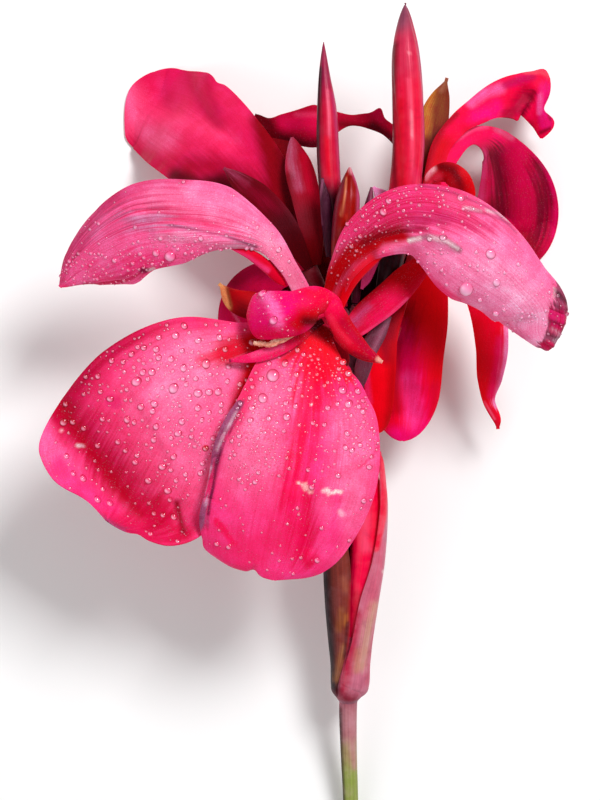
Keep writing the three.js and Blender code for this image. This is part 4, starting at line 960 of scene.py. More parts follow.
PETALS["left_petal_upper"] = dict(
    slot="petal_crimson", colour=0x9C001C, blunt=6,
    washes=[
        (0xB04264, 0.8, 1.4, 1.6, [-7, 91, -6.6, 84, -4.6, 77], 0.8),
        (0xA66078, 0.6, 0.5, 0.9, [-7, 92, -7, 86, -6, 80], 0.5),
        (0xD6022C, 0.9, 1.6, 1.6, [-2, 86, -0.4, 79, 1.2, 73]),
        # Painted shade on its lower part.
        (0x640004, 0.98, 4.4, 4, [-1.5, 68, -1, 62, 0, 55]),
        (0x6E0006, 0.9, 1.2, 1.4, [-7.6, 80, -6.4, 72]),
    ],
    veins=[0.4],
    stations=[
        [0.6, 55, 38.8, 1.4, 1.4], [-0.3, 63.3, 40.5, 3.4, 3.1, 0, 20, 20],
        [-2, 73.3, 39.5, 4.3, 4, 0, 20, 20], [-4.3, 83.6, 36, 4.6, 4.1, 0, 20, 20],
        [-6.3, 91.8, 32.8, 2.4, 2.2],
    ])
PETALS["left_petal_side"] = dict(
    slot="petal_maroon", colour=0x68000E,
    washes=[
        (0xA6385C, 0.9, 0.8, 1.4, [-25.6, 83, -22, 80.6, -19, 78], 0.8),
        (0x880428, 0.8, 1.2, 1.8, [-20, 78, -14, 73, -10, 70], 1),
        # Painted shade at its foot, deep in the flower.
        (0x420002, 0.98, 5, 5, [-8, 66, -4, 60, -1.5, 55]),
    ],
    veins=[0.5],
    stations=[
        [-1.4, 54, 39.9, 1.4, 1.4], [-8.2, 65.1, 43, 3.7, 3.7], [-15.3, 73.8, 41, 4.3, 3.7],
        [-21.1, 79.2, 37, 3.1, 2.3], [-25.8, 82.9, 34, 0.6, 0.6],
    ])


# ---------------------------------------------------------------- right flower

PETALS["right_staminode_arching"] = dict(
    slot="petal_maroon", colour=0xB8002E, nicks=[(1, 0.5, -1, 0.018)],
    washes=[
        (0xE80850, 0.92, 2.4, 1.8, [-8, 97.4, -2, 97.6, 4, 96.6]),
        (0xF44678, 0.5, 0.6, 0.8, [-5, 99.6, 1, 99.4]),
        (0x50000E, 0.97, 1.6, 1.6, [-10, 93, -3, 90.8, 3, 90.6, 7, 92]),
        (0x60000C, 0.97, 2.4, 1.6, [-17, 100.5, -14, 97.5, -12, 93]),
        (0x780012, 0.85, 1, 1, [8, 96.5, 13, 95.5, 18, 95]),
        (0xD20646, 0.9, 1.2, 1, [17.5, 101, 19, 98]),
        # Painted shade below a bump.
        (0x54000E, 0.9, 1.3, 1.2, [17, 95.6, 21, 93, 24.5, 88.5]),
    ],
    veins=[0.3], mist=[0.2],
    stations=[
        [28, 64.7, 35, 1.1, 1.1], [28.5, 76.7, 33.5, 2.6, 2.6, 0, 10, 10],
        [27.2, 87.6, 30.5, 2.5, 2.4, 0, 10, 10], [22, 94.1, 28.5, 2.1, 2], [16.5, 97, 27, 2.2, 2.3],
        [10.8, 97.5, 26, 1.6, 1.6], [7, 97.2, 25, 2.8, 3], [1.2, 96.1, 23.5, 6, 6.2],
        [-4, 96.1, 22, 5.6, 5.4], [-9.8, 97.2, 20, 5.2, 3], [-13.4, 98.2, 18.6, 4, 1],
        [-17.2, 100, 17, 2.4, 1.4],
    ])
PETALS["right_staminode_curled"] = dict(
    slot="petal_rose", colour=0xF00042, nicks=[(-1, 0.828, -0.26, 0.014)],
    folds=[(-1.6, 2.2, [55.5, 98.5, 58.5, 102.5, 62, 106.5]), (0.8, 2, [66.5, 107, 67, 102, 67.5, 97])],
    washes=[
        (0xCE0008, 0.95, 3, 3.5, [31, 68, 34, 82, 37, 90]),
        (0x96000A, 0.9, 0.9, 1.2, [31.5, 80, 33.6, 88, 37, 95, 41, 99]),
        (0xF80470, 0.9, 2.2, 2, [47, 98, 53, 101.5]),
        (0xF05AA0, 0.85, 1.4, 1.2, [45.5, 102.8, 50, 106, 54.5, 107.5]),
        (0xD6022C, 0.8, 1.3, 1.3, [44, 94.5, 50, 97]),
        # Painted shade in the fold.
        (0xA00030, 0.92, 2, 1.8, [57, 99.4, 60, 103, 62.6, 106], 1),
        (0x78001E, 0.85, 0.8, 1, [61.4, 101, 63.4, 104, 64.6, 106.6], 0.5),
        (0xBA0454, 0.8, 1.2, 1, [56, 108.6, 60.5, 110.4, 64, 111.4]),
        # Painted light on the flap, which turns toward the lamp, and a painted highlight on its edge.
        (0xE20A6C, 0.95, 2, 0.7, [68, 108, 67.6, 103, 68.4, 98]),
        (0xF05AA0, 0.7, 0.6, 0.6, [66.6, 106, 66.4, 101]),
        (0xAA023C, 0.8, 0.4, 0.4, [69, 105.5, 68.6, 101.5, 69.6, 99]),
        (0xC8043C, 0.8, 1.2, 1.2, [64, 97.5, 65, 94]),
        (0x960028, 0.9, 0.5, 0.5, [67, 95.4, 69.4, 96.4]),
        (0xF43C54, 0.95, 0.7, 0.5, [62, 112.8, 67, 112.8, 70, 111.4]),
    ],
    veins=[0.3], mist=[0.2],
    stations=[
        [30.6, 64.3, 36, 1.4, 1.4], [34, 79.5, 34, 2.6, 2.6], [36.6, 89.4, 31, 2.8, 2.8],
        [42.2, 96.6, 27, 3.2, 3.2], [47.4, 100.4, 23.5, 4, 4], [53.4, 104.6, 20, 4.6, 5.8],
        [59, 106.3, 17.5, 5.6, 8], [63.8, 105.2, 15.5, 7.4, 7], [66, 101.6, 14.5, 2, 5, -10],
        [67.3, 97.6, 13.5, 4.6, 3.8, -20], [67.2, 93.6, 13, 2.6, 2, -20],
    ])
PETALS["right_staminode_broad"] = dict(
    slot="petal_maroon", colour=0xCC0244, blunt=12, seed=2,
    folds=[(-2, 3.4, [55, 88, 56.5, 80, 57, 70]), (-1.4, 3, [69, 84, 70.5, 76, 69, 66])],
    washes=[
        (0xF40658, 0.95, 2.4, 2.4, [36, 76, 39, 86, 44, 92, 50, 94.5, 55, 93]),
        # Painted highlight lines.
        (0xF85A90, 0.7, 0.8, 0.8, [41, 92, 46, 95.4, 50, 96.4]),
        (0xC85A82, 0.6, 0.8, 0.8, [53, 95.8, 58, 93.6]),
        (0xDC3C7C, 0.85, 1.4, 1.4, [49.2, 88, 49, 81, 49.6, 72]),
        # Painted shade in the first fold.
        (0x6A001A, 0.95, 2.6, 2.4, [53.5, 88.5, 55.5, 82, 56, 72], 2),
        (0xDA044C, 0.8, 2.4, 2.4, [59, 89, 61.5, 80, 62.5, 70], 2),
        # Painted shade in the second fold.
        (0x70001E, 0.9, 2.2, 2.4, [66.5, 86, 69, 78, 68.5, 68, 65, 62], 2),
        (0xDE065E, 0.9, 0.9, 1, [63, 92, 70, 85, 73, 76, 72, 66]),
        (0x96001C, 0.7, 2, 2, [63, 66, 67, 60, 60, 58]),
    ],
    veins=[0.3], mist=[0.3],
    stations=[
        [33.4, 63.3, 34, 1.4, 1.4], [35.7, 78.3, 31, 2.6, 2.9], [39.9, 87.5, 28, 3.2, 2.5],
        [46.5, 92.6, 24, 3.2, 2], [54.3, 90.4, 17, 5.4, 6.3, 0, -10, -10],
        [60.7, 78.3, 7.5, 11, 12.4, 0, -8, -8], [60.7, 65.9, 0.1, 11.8, 11.4, 0, -5, -5],
        [55, 51.5, 0.2, 4.8, 4.8, 0, -5, -5],
    ])
PETALS["right_staminode_hanging"] = dict(
    slot="petal_rose", colour=0xF60028,
    washes=[
        # Painted shade on its left half.
        (0xE20008, 0.85, 2, 2, [47, 38, 48.5, 28, 50, 18]),
        # Painted light on its right half.
        (0xFF7CB6, 0.97, 2.2, 0.8, [57, 37, 57, 29, 55.4, 22, 54.2, 16], 0.8),
        (0xF4105A, 0.8, 1.2, 1, [54, 34, 53.5, 26, 52, 18]),
        (0xCE0624, 0.9, 1.4, 1.2, [51, 13, 53, 10, 54.5, 8.5]),
        (0xFA5078, 0.6, 0.3, 0.3, [50, 16, 53, 11]),
    ],
    veins=[0.2], mist=[0.15],
    stations=[
        [33.6, 61.2, 31.8, 1.4, 1.4], [43.6, 55.4, 29, 4, 4], [49.9, 44, 26, 5.2, 5.2, 0, -15, -15],
        [51.8, 32.5, 24, 4.9, 4.9, 0, -25, -25], [51.4, 22.9, 21, 3.8, 3.8, 0, -25, -25],
        [51.3, 16.5, 19, 1.8, 2, 0, -20, -20], [53.7, 10.6, 18, 1.5, 1.5, 0, -10, -10],
        [54, 8, 17.5, 0.9, 0.9, 0, -10, -10],
    ])
PETALS["right_labellum"] = dict(
    slot="petal_crimson", colour=0xF0002C, blunt=8, seed=12,
    folds=[(-1.2, 3, [23, 40, 25, 24, 28, 12]), (0.8, 2.4, [29.5, 36, 31, 22])],
    washes=[
        # Painted light: the bright reds at its top stand in for light shining through the petal under
        # the staminode above.
        (0xDE0004, 0.95, 6, 5, [30, 56, 33, 48, 34, 42]),
        (0xE60006, 0.85, 3, 3, [33.5, 42, 36, 34, 36, 24]),
        # Painted shade in the valley.
        (0xB0000C, 0.9, 2.2, 2.4, [25, 46, 27.5, 40, 27, 34], 1),
        (0xF60260, 0.92, 3.2, 3, [24.5, 36, 27, 26, 29, 17, 30.5, 10], 1.5),
        (0xFF3288, 0.85, 2.4, 2.4, [27, 22, 28.6, 15, 29, 9], 1.2),
        # Painted shade in the valley.
        (0xB4000E, 0.85, 1.6, 1.8, [24, 33, 23.4, 24, 24, 14], 0.8),
        (0xCE0028, 0.7, 1.6, 1.8, [35, 20, 35.6, 12], 1),
        (0xFC0A74, 0.9, 2.6, 2.2, [24, 6, 29, 5, 34, 8], 0.6),
    ],
    veins=[0.2],
    stations=[
        [31.2, 62, 30.8, 1.7, 1.7], [32, 54, 29, 5.8, 5.2, 0, -10, -10],
        [30.1, 41, 28, 9, 9.8, 0, -20, -20], [26.9, 28.1, 27, 11, 11, 0, -25, -25],
        [25.9, 16.5, 25, 11.6, 10.4, 0, -25, -25], [25.7, 4.6, 22, 10.5, 8.7, 0, -20, -20],
    ])
PETALS["right_stamen"] = dict(
    slot="petal_crimson", colour=0xBA000C, blunt=16,
    washes=[
        (0x6E0004, 0.95, 1.3, 1.2, [36, 82.5, 39, 81.4, 40.6, 79, 41.2, 76]),
        (0xD80008, 0.8, 1, 1, [42, 81, 44.5, 77.5, 45.8, 73]),
        (0x96000C, 0.8, 1.4, 1.4, [37, 79, 40, 76]),
        # A painted highlight.
        (0xF096AA, 0.95, 0.9, 0.8, [31.6, 79.6, 33.6, 81.8]),
        (0xD22846, 0.8, 1.2, 1.2, [33, 78.4, 35, 79.6]),
    ],
    veins=[0.3], mist=[0.2],
    stations=[
        [32.1, 63.7, 37, 1.1, 1.1], [39.4, 68.7, 41, 3.1, 2], [43.2, 73.9, 43, 4.2, 2.3],
        [41.7, 79.2, 44, 4.5, 2.3], [37.6, 81.4, 43.4, 3.6, 2.4], [33.2, 79.8, 42, 2.4, 1.8],
        [31.6, 76.6, 41, 0.9, 0.9],
    ])
PETALS["right_petal_tan"] = dict(
    slot="petal_tan", colour=0x702808, blunt=5,
    washes=[
        (0x966042, 0.85, 1, 1.2, [38.6, 110.5, 37.2, 107]),
        (0xBE7428, 0.9, 1.3, 1.4, [34.4, 107, 33, 101, 32.5, 94]),
        (0x78360E, 0.9, 1.2, 1.2, [37.2, 104, 36.5, 97]),
        (0x320E04, 0.97, 0.8, 0.9, [40.6, 108, 41.2, 103.5, 40.2, 96, 38.5, 88]),
        (0x541A04, 0.85, 2.4, 2.4, [36, 92, 35, 84]),
    ],
    veins=[0.5],
    stations=[
        [30.7, 63.5, 30.8, 1.2, 1.2], [33, 82.4, 27, 3.5, 3.5], [34.6, 95.4, 24.5, 5, 4.6],
        [37.4, 105, 22, 4.4, 3.2], [38.9, 110.5, 20, 0.6, 0.6],
    ])
PETALS["right_petal_pink"] = dict(
    slot="petal_pink", colour=0xFF9ED6, blunt=8, veins=[0.3],
    stations=[
        [28.9, 63.5, 37.2, 1.1, 1.1], [24.2, 67.2, 38.5, 3.4, 3.4], [20.5, 72.9, 38.5, 3.1, 3.1],
        [16.8, 77.1, 39, 0.9, 0.9],
    ])


# ---------------------------------------------------------------- inner feet and shade sheets

# Narrow blades deep among the feet of the flowers, which close the view between them.
# Most are dark sheets standing in for the shade there; the pink and the scarlet ones are petals.
FEET_AND_SHADE_SHEETS = [
    # A dark crimson sheet behind the left flower, standing in for the shade there.
    dict(
        colour=0x82000C, washes=[(0x6E0008, 0.9, 6, 5, [2, 52, -1, 62])], veins=[0.3],
        stations=[
            [3, 46, 31.4, 2, 2], [1, 54, 31.6, 4.5, 5], [-2.5, 66, 31, 6, 6.4], [-6, 78, 28, 6, 5.5],
            [-9, 90, 22, 5, 4], [-11, 97, 16.6, 3, 2],
        ]),
    # A near-black sheet standing in for the shade among the right flower's feet.
    dict(
        colour=0x1A0005, veins=[0.5],
        stations=[
            [12, 34, 30.6, 4, 4], [14, 46, 31, 6, 8], [17.4, 56, 31, 6, 11.5], [20, 66, 30.5, 4, 9],
        ]),
    # A dark sheet standing in for the shade under the left flower's feet.
    dict(
        colour=0x60000A, veins=[0.5],
        stations=[[2, 46, 32.4, 3, 3], [-6, 46, 32, 3.6, 3.6], [-13, 44.6, 30, 2, 2]]),
    # A dark sheet standing in for the shade by the front tube.
    dict(
        colour=0x7E0010, veins=[0.3],
        stations=[
            [4.4, 37, 50.6, 1.4, 1.4], [5.8, 33.6, 51, 2.2, 2.4], [7.4, 30, 50.4, 2.2, 2.2],
            [9, 26, 48.4, 1.2, 1.2],
        ]),
    # A dark mauve sheet that closes the gap by the style.
    dict(
        colour=0x683244, veins=[0.5],
        washes=[(0xA0647C, 0.8, 0.6, 0.9, [21, 39.6, 18, 33.6, 16, 29])],
        stations=[
            [21, 40.4, 43, 1, 1], [18.2, 35.6, 44, 2.3, 2.3, 0, -20, -20],
            [15.4, 30.4, 44.4, 2.4, 2.3, 0, -20, -20], [13.6, 25, 44, 2.3, 2.2, 0, -20, -20],
            [13, 19.5, 42, 1, 1],
        ]),
    dict(
        colour=0xFF50A0, veins=[0.2],
        stations=[
            [18.6, 57.6, 44.4, 0.6, 0.6], [16.6, 54.4, 45, 1.2, 1.4], [14.4, 50.6, 45, 1.6, 1],
            [13.4, 47.8, 44.4, 0.5, 0.5],
        ]),
    # A dark sheet standing in for the shade between the bracts.
    dict(
        colour=0x400C0E, veins=[0.5],
        stations=[
            [9.8, -48, 21.6, 1, 1], [9.8, -38, 23.6, 2.4, 2.4], [10, -24, 26.4, 3, 3],
            [10.4, -8, 29.6, 2.6, 2.6],
        ]),
    dict(
        colour=0xF60016, veins=[0.2],
        # Painted shade at its top and along its right side, and a painted highlight along its left
        # edge.
        washes=[
            (0x8C000C, 0.95, 3.4, 3, [25, 48, 22, 41, 20.6, 35]),
            (0x960218, 0.9, 2.2, 2, [20, 36, 21, 29]),
            (0xF6286E, 0.85, 0.9, 0.8, [14.4, 30, 14.6, 24, 15.6, 16]),
            (0xB40008, 0.85, 1.4, 1.4, [22.4, 32, 22.4, 24, 22, 14, 21, 7]),
        ],
        stations=[
            [26.6, 50.6, 37, 1.2, 1.2], [23.4, 43, 39.6, 2.6, 4], [19.6, 34.6, 41, 4.2, 4.6],
            [18.2, 25, 41, 5, 4, 0, -10, -10], [18, 15, 38, 4.6, 3.4, 0, -10, -10],
            [18, 7, 34, 3.4, 2.8, 0, -10, -10],
        ]),
]


# ---------------------------------------------------------------- anther, bracts and stem

OTHERS["front_anther"] = dict(
    slot="anther", spacing=0.3, colour=0xFFCEB4, thickness=1, frill=0.4,
    nicks=[
        (1, 0.28, 0.4, 0.05), (1, 0.5, -0.35, 0.07), (1, 0.68, 0.4, 0.05), (-1, 0.45, 0.35, 0.06),
        (-1, 0.78, 0.4, 0.05),
    ],
    washes=[
        (0xF08068, 0.8, 0.3, 0.4, [-8, 33, -12.5, 31.2, -16, 31.6]),
        (0xCC5448, 0.7, 0.25, 0.3, [-11, 32.6, -14, 31.9], 0.2),
        (0xFCE2CE, 0.8, 0.3, 0.3, [-9, 33.4, -13, 32.6]),
    ],
    stations=[
        [-4.6, 35.2, 63, 0.5, 0.5], [-7.6, 33.4, 62.8, 0.5, 0.6], [-10.6, 32.2, 62.4, 0.8, 0.9],
        [-13.8, 31.8, 61.6, 0.8, 0.7], [-16.8, 32.2, 60.8, 0.5, 0.5],
    ])
OTHERS["bract_right"] = dict(
    slot="bract_mauve", colour=0xC86C84,
    washes=[
        (0xD85A78, 0.8, 2, 1.8, [16, -45, 18, -36, 19.6, -26]),
        (0xD6A0B0, 0.85, 1.5, 1.3, [22, -8, 22.4, -24, 21, -40, 19.4, -52]),
        (0xF4043C, 0.97, 1, 0.5, [19.4, 2, 19.9, -9, 19.6, -17, 17.6, -26]),
        (0xD0A284, 0.85, 1, 1.9, [17.4, -43, 15.8, -49, 14.8, -55, 13.6, -61], 0.6),
        (0xBE7854, 0.6, 0.9, 0.9, [12.4, -56, 12.2, -62]),
        (0xC44664, 0.8, 1.2, 1.2, [18.2, -50, 16.8, -58, 16, -66]),
        (0xBA143E, 0.95, 1.4, 1.2, [8.6, -68, 9.8, -60, 11, -53, 12.4, -45]),
        (0x8C0E2C, 0.97, 2.6, 2.4, [8, -71, 11.6, -72]),
        # The near-white dots are painted glints.
        (0xC46480, 0.9, 1.4, 1.4, [14.4, -71.4, 17, -70.5]), (0xFAE2DC, 0.8, 0.35, 0.3, [17.8, -49]),
        (0xFAE2DC, 0.8, 0.3, 0.3, [19.6, -33]),
    ],
    veins=[0.3],
    stations=[
        [12.5, -70.8, 17.9, 4.6, 5, -60, -88, -100], [14.9, -68.3, 19.1, 7.9, 8.8, -60, -92, -100],
        [15.5, -60.8, 20.9, 7.3, 9, -60, -81, -100], [16.2, -53.3, 22.8, 6.1, 9.6, -60, -63, -100],
        [17.9, -41.4, 25.8, 5.5, 9.6, -60, -57, -100], [19.5, -29.7, 28.9, 3.7, 9.8, -60, -36, -97],
        [20.2, -15.1, 32.4, 2, 8, -60, -20, -80], [19.6, -6.4, 34.3, 1.4, 5.2, -60, -15, -54],
        [18.8, 1.7, 36.5, 0.6, 0.6, -60, -5, -5],
    ])
OTHERS["bract_left"] = dict(
    slot="bract_brown", colour=0x762E22,
    washes=[
        # Painted shade down the left side.
        (0x0A0206, 1, 2.2, 1.5, [3, -12, 2.6, -30, 3.3, -42, 4.4, -55, 5.2, -68]),
        (0x88362C, 0.7, 1, 1.4, [8, -60, 8.5, -46, 8, -28]),
        (0xBE7432, 0.85, 0.3, 1.3, [9, -48, 9.2, -46], 0.4),
        (0xAA6046, 0.7, 0.6, 1.2, [9, -38, 8.4, -35]), (0x965428, 0.7, 0.8, 0.8, [7.4, -50, 8, -44]),
        (0xBA7C4C, 0.85, 0.3, 1.3, [6.8, -65, 7.8, -59, 8.6, -55], 0.5),
        (0xBA0A28, 0.85, 0.7, 0.8, [11, -36, 10.8, -46, 10.2, -56]),
        (0x3C0E14, 0.7, 0.5, 0.5, [9.8, -48, 9, -58]), (0x5A0C24, 0.95, 2, 1.6, [5.5, -70.4, 9, -71]),
    ],
    veins=[0.5],
    stations=[
        [7.6, -70.8, 17.7, 4.6, 0.9, 60, -95, -14], [6.3, -68.3, 19.1, 8.2, 0.9, 60, -95, -10],
        [6, -60.8, 20.9, 8.7, 3.2, 60, -95, -35], [5.3, -53.3, 22.8, 9.3, 5.8, 60, -95, -60],
        [4.3, -41.5, 25.5, 9.3, 7.2, 60, -95, -75], [3.9, -29.7, 28, 8.7, 7.5, 60, -90, -78],
        [4.9, -18.1, 30, 5.8, 4.6, 60, -67, -54], [6.9, -9.4, 31.5, 0.6, 0.6, 60, -5, -5],
    ])
OTHERS["inner_bract"] = dict(
    slot="bract_pink", colour=0xF40044,
    washes=[
        # A painted pale sheen.
        (0xF84A74, 0.85, 1.3, 1.5, [13.6, -11, 14.6, -17, 14.8, -26]),
        (0xFA003A, 0.8, 1.2, 1.2, [18.8, -6.5, 18.4, -14, 17.2, -24]),
        (0xCE002C, 0.85, 1.4, 1.6, [12, -54, 12.6, -40]),
    ],
    veins=[0.2],
    stations=[
        [11.6, -56.8, 22.9, 1.2, 1.2, 0, -17, -17], [13.1, -41.3, 26.9, 5.2, 5.2, 0, -76, -76],
        [14.4, -29.6, 29.9, 6.3, 6.3, 0, -93, -93], [15.2, -16.5, 33, 6.3, 6.3, 0, -93, -93],
        [15, -5.8, 35.4, 4.3, 4.3, 0, -64, -64], [14.5, 2.8, 37, 0.9, 0.9, 0, -13, -13],
    ])
STALKS = [
    [[12.6, 15.1, 35, 1.4], [10.8, 17.6, 38.5, 1.6], [9.9, 19.1, 40, 1.6]],
    [[11.4, 30.8, 37.3, 1.4], [8.7, 35.2, 36.6, 1.4]],
    [[12.3, 17.1, 35.3, 1.4], [16, 21.9, 36.2, 1.4]],
    [[11.1, 29.3, 37, 1.4], [14.2, 32.4, 39.3, 1.3], [16.1, 34.4, 40.8, 1.3]],
    [[10.2, 38.7, 38, 1.4], [8.5, 41.8, 40.3, 1.1]],
    [[10.5, 38.1, 38, 1.1], [8.7, 41.1, 42, 1.1], [7, 43.3, 44.2, 1.1]],
    [[10.2, 38.7, 38, 1.1], [11.6, 43.2, 41, 1]],
]
STEM_JOINT = dict(
    colour=OTHERS["bract_right"]["colour"], veins=[0.3], sides=32, spacing=0.6,
    # The bract's paint with its painted glints, the painted shade down the left side, and a painted
    # mauve-grey sheen along the foot.
    washes=[*OTHERS["bract_right"]["washes"], OTHERS["bract_left"]["washes"][0],
            (0x966074, 0.8, 0.5, 0.7, [7, -71.8, 10.4, -72.4, 14, -71.6])],
    stations=[
        [10.2, -71.8, 15.7, 2.7], [10.2, -70.2, 16.2, 3.8], [10.5, -67.4, 17.2, 4.6],
        [11, -61, 18.8, 4.4], [11.8, -50, 21.4, 3.2], [12.2, -44, 22.6, 2.4],
    ])
OTHERS["stem"] = dict(
    slot="stem", sides=56, spacing=0.7, colour=0xB6747A, ribs=(7, 0.1),
    washes=[
        (0x92A44C, 0.98, 15, 3.4, [11.3, -130, 11, -100]), (0xB48A74, 0.8, 3, 4, [11, -88]),
        # A painted highlight line down the green foot.
        (0xBEBE78, 0.6, 0.6, 0.8, [11.2, -126, 10.8, -104]),
        # Painted shade down the left side.
        (0x282014, 0.9, 0.6, 0.7, [9.2, -128, 8.9, -104, 8, -87, 7.7, -74]),
        # A painted highlight line up the pink part.
        (0xC8828C, 0.6, 0.8, 1, [12.1, -92, 11.4, -84, 11.4, -74]),
        (0x963C54, 0.7, 3, 3, [8, -71, 13, -71]), (0xDEE2AA, 1, 2, 0.3, [11.3, -130.4]),
        # Painted shade on the top of the stem, deep among the flowers.
        (0x502434, 1, 8, 6, [14.5, 12, 12, 24, 10, 40]),
    ],
    veins=[0.4],
    stations=[
        [11.3, -128.3, 1.9, 2.2], [11.3, -117, 1.9, 2.2], [11, -102.3, 6, 2.3], [10.3, -85.4, 11, 2.5],
        [10.1, -72.8, 15.5, 2.7], [10.7, -68.6, 16.6, 2.6], [11.5, -53.6, 20, 2.5],
        [13.2, -41.7, 23, 2.5], [14.5, -29.8, 26, 2.5], [15.3, -15.2, 29.5, 2.4], [15, -6.5, 31.5, 2.4],
        [13.8, 7.9, 34, 2.4], [12.3, 20.8, 36, 2.3], [11.1, 32.2, 37.5, 2.1], [10.2, 40.4, 38.5, 1.4],
    ],
    parts=[STEM_JOINT, *[dict(colour=0x781E32, sides=24, stations=stalk) for stalk in STALKS]])


# ---------------------------------------------------------------- flower tubes

OTHERS["front_tube"] = dict(
    slot="flower_tube", colour=0xFA0A54, warts=(0.5, 0.45),
    stations=[
        [9.8, 19.4, 40.9, 1.7], [8.2, 23, 43.5, 2.7], [5.9, 27.2, 46.3, 2.4], [3.9, 31.4, 48.4, 2.1],
        [2.4, 35.3, 50, 2.5], [1, 40.2, 52, 2.8],
    ])
OTHERS["left_tube"] = dict(
    slot="flower_tube", colour=0x74061A, warts=(0.5, 0.4),
    stations=[
        [8.4, 35.8, 36.5, 1.5], [5.4, 39.2, 34.4, 2.2], [3.4, 43.7, 35.1, 2.3], [1.7, 48.2, 36.3, 2],
        [-1.4, 53.9, 37, 2.6],
    ])
OTHERS["right_tube"] = dict(
    slot="flower_tube", colour=0xAA061E, warts=(0.5, 0.35),
    stations=[
        [16.3, 22.3, 36.3, 1.7], [17.8, 25.8, 36.8, 2.4], [19.7, 31, 37.2, 2.3], [23.4, 40.5, 37, 2],
        [27.7, 54.2, 35.2, 2], [30.7, 63.5, 34, 2.9],
    ])


# ---------------------------------------------------------------- buds

OTHERS["bud_tall"] = dict(
    slot="bud_red", colour=0xDE103A,
    seams=[(40, 200, 0.4, 0.5), (160, 300, 0.3, 0.5), (290, 400, 0.3, 0.5)],
    washes=[
        (0x96425A, 0.92, 5, 6, [25.6, 129, 25.8, 122]),
        (0x6E3C54, 0.7, 1.2, 1.6, [25.6, 129, 24.4, 121]), (0xC8284E, 0.85, 3, 4, [26, 117, 26, 110]),
        # Painted shade down the left side.
        (0x6E0014, 0.92, 0.9, 1, [22.5, 116, 21.9, 100.5, 22.3, 86, 23, 76]),
        (0xCE0018, 0.8, 1, 1.2, [24, 100, 24, 88, 24.6, 76]),
        # Painted highlights down the middle, and a painted glint.
        (0xF45074, 0.8, 0.45, 0.8, [26.4, 106, 27, 97, 27.4, 88, 27.6, 80]),
        (0xFCA0AE, 0.7, 0.22, 0.4, [27, 97, 27.3, 90]), (0xF696A0, 0.9, 0.35, 0.4, [26.6, 113.4]),
        (0xA03264, 0.9, 0.7, 0.8, [29.6, 117, 30.9, 104, 31.2, 90, 30.9, 76]),
        # The near-black wash is painted shade at its foot among the flowers.
        (0xE0285A, 0.7, 1.4, 1.4, [28.4, 80, 28.6, 72]), (0x140004, 1, 7, 3, [20, 44, 22, 53]),
    ],
    veins=[0.3],
    stations=[
        [16.7, 35.2, 41.5, 1.7], [20.6, 49.8, 43.5, 3.1], [24.7, 71.5, 45.5, 4.2],
        [26.5, 86.9, 46.5, 4.5], [26.3, 102.3, 46.5, 4.4], [25.7, 115, 46.5, 3.8], [25.6, 123.5, 46, 2],
        [25.6, 128.3, 46, 0.3],
    ])
OTHERS["bud_thin"] = dict(
    slot="bud_dark", colour=0xC80C36, seams=[(60, 160, 0.3, 0.4), (200, 320, 0.3, 0.4)],
    washes=[
        (0x8C1842, 0.9, 6, 6, [2.6, 118, 3, 109]),
        # Painted shade down the left side.
        (0x22020E, 0.97, 0.8, 0.8, [1.5, 110, 1, 98, 1, 86, 1.6, 74]),
        (0xE40022, 0.7, 0.8, 0.8, [3.4, 90, 4.2, 80]),
        # A painted highlight line.
        (0xEC6082, 0.8, 0.3, 0.6, [3.7, 104, 4.1, 97, 4.3, 91]),
        (0xB02C60, 0.9, 0.6, 0.7, [5.4, 103, 6.4, 93, 7.1, 84, 7.9, 77]),
        (0x240210, 0.98, 5, 3, [3, 72, 5, 62, 7, 50]),
    ],
    veins=[0.3],
    stations=[
        [8.1, 43, 40.5, 1.4], [6.8, 59, 41.5, 2.7], [4.8, 73.1, 42.5, 3.1], [3.9, 87.2, 42.5, 3.2],
        [3.6, 98.6, 42.5, 2.8], [2.9, 108.5, 42.5, 1.6], [2.6, 117.8, 42.5, 0.3],
    ],
    parts=[dict(
        spacing=0.35, colour=0x3E0A26, thickness=0.7, veins=[0.5],
        # A painted highlight line.
        washes=[(0x965070, 0.8, 0.35, 0.35, [2.4, 78.4, 1.4, 72, 2.2, 66])],
        stations=[
            [4.6, 57, 43.4, 1.2, 1.2, 0, -20, -20], [3.9, 66, 45.6, 1.9, 1.9, 0, -50, -50],
            [2.9, 74, 46, 1.3, 1.3, 0, -40, -40], [2.2, 79, 45.6, 0.4, 0.4],
        ]), dict(
        spacing=0.35, colour=0x32061E, thickness=0.7, veins=[0.5],
        # A painted highlight line.
        washes=[(0x8C4668, 0.8, 0.35, 0.35, [7.3, 76.6, 8.2, 70, 8, 64])],
        stations=[
            [7, 57, 42.8, 1.2, 1.2, 0, -20, -20], [7.2, 65, 44.2, 1.7, 1.7, 0, -50, -50],
            [7.3, 72.5, 44.6, 1.2, 1.2, 0, -40, -40], [7, 77, 44, 0.4, 0.4],
        ])])
OTHERS["bud_small"] = dict(
    slot="bud_dark", colour=0x920A02, seams=[(80, 100, 0.5, 0.35)],
    washes=[
        (0x6E0E28, 0.9, 0.8, 0.8, [5, 62, 5.8, 70, 8, 78]),
        (0xD88254, 0.85, 0.2, 0.25, [8.9, 78.5, 8.5, 73.5, 7.4, 68]),
        (0xC85082, 0.9, 0.7, 0.5, [10.8, 81, 12.6, 76, 12.6, 70, 12.2, 64]),
        (0xE696A0, 0.9, 0.5, 0.5, [9.9, 81.7, 10.3, 80.4]), (0x6A0804, 0.8, 2, 2, [9, 63, 8, 56]),
        (0xBA2810, 0.7, 0.5, 0.6, [9, 67.5]),
    ],
    veins=[0.4],
    stations=[
        [6.7, 44.1, 45.2, 1.4], [7, 53, 48, 2.2], [8.3, 64.1, 49.5, 3.4], [9.4, 72.5, 50, 3.4],
        [9.7, 77.3, 50, 2.2], [9.9, 81.7, 50, 0.3],
    ])
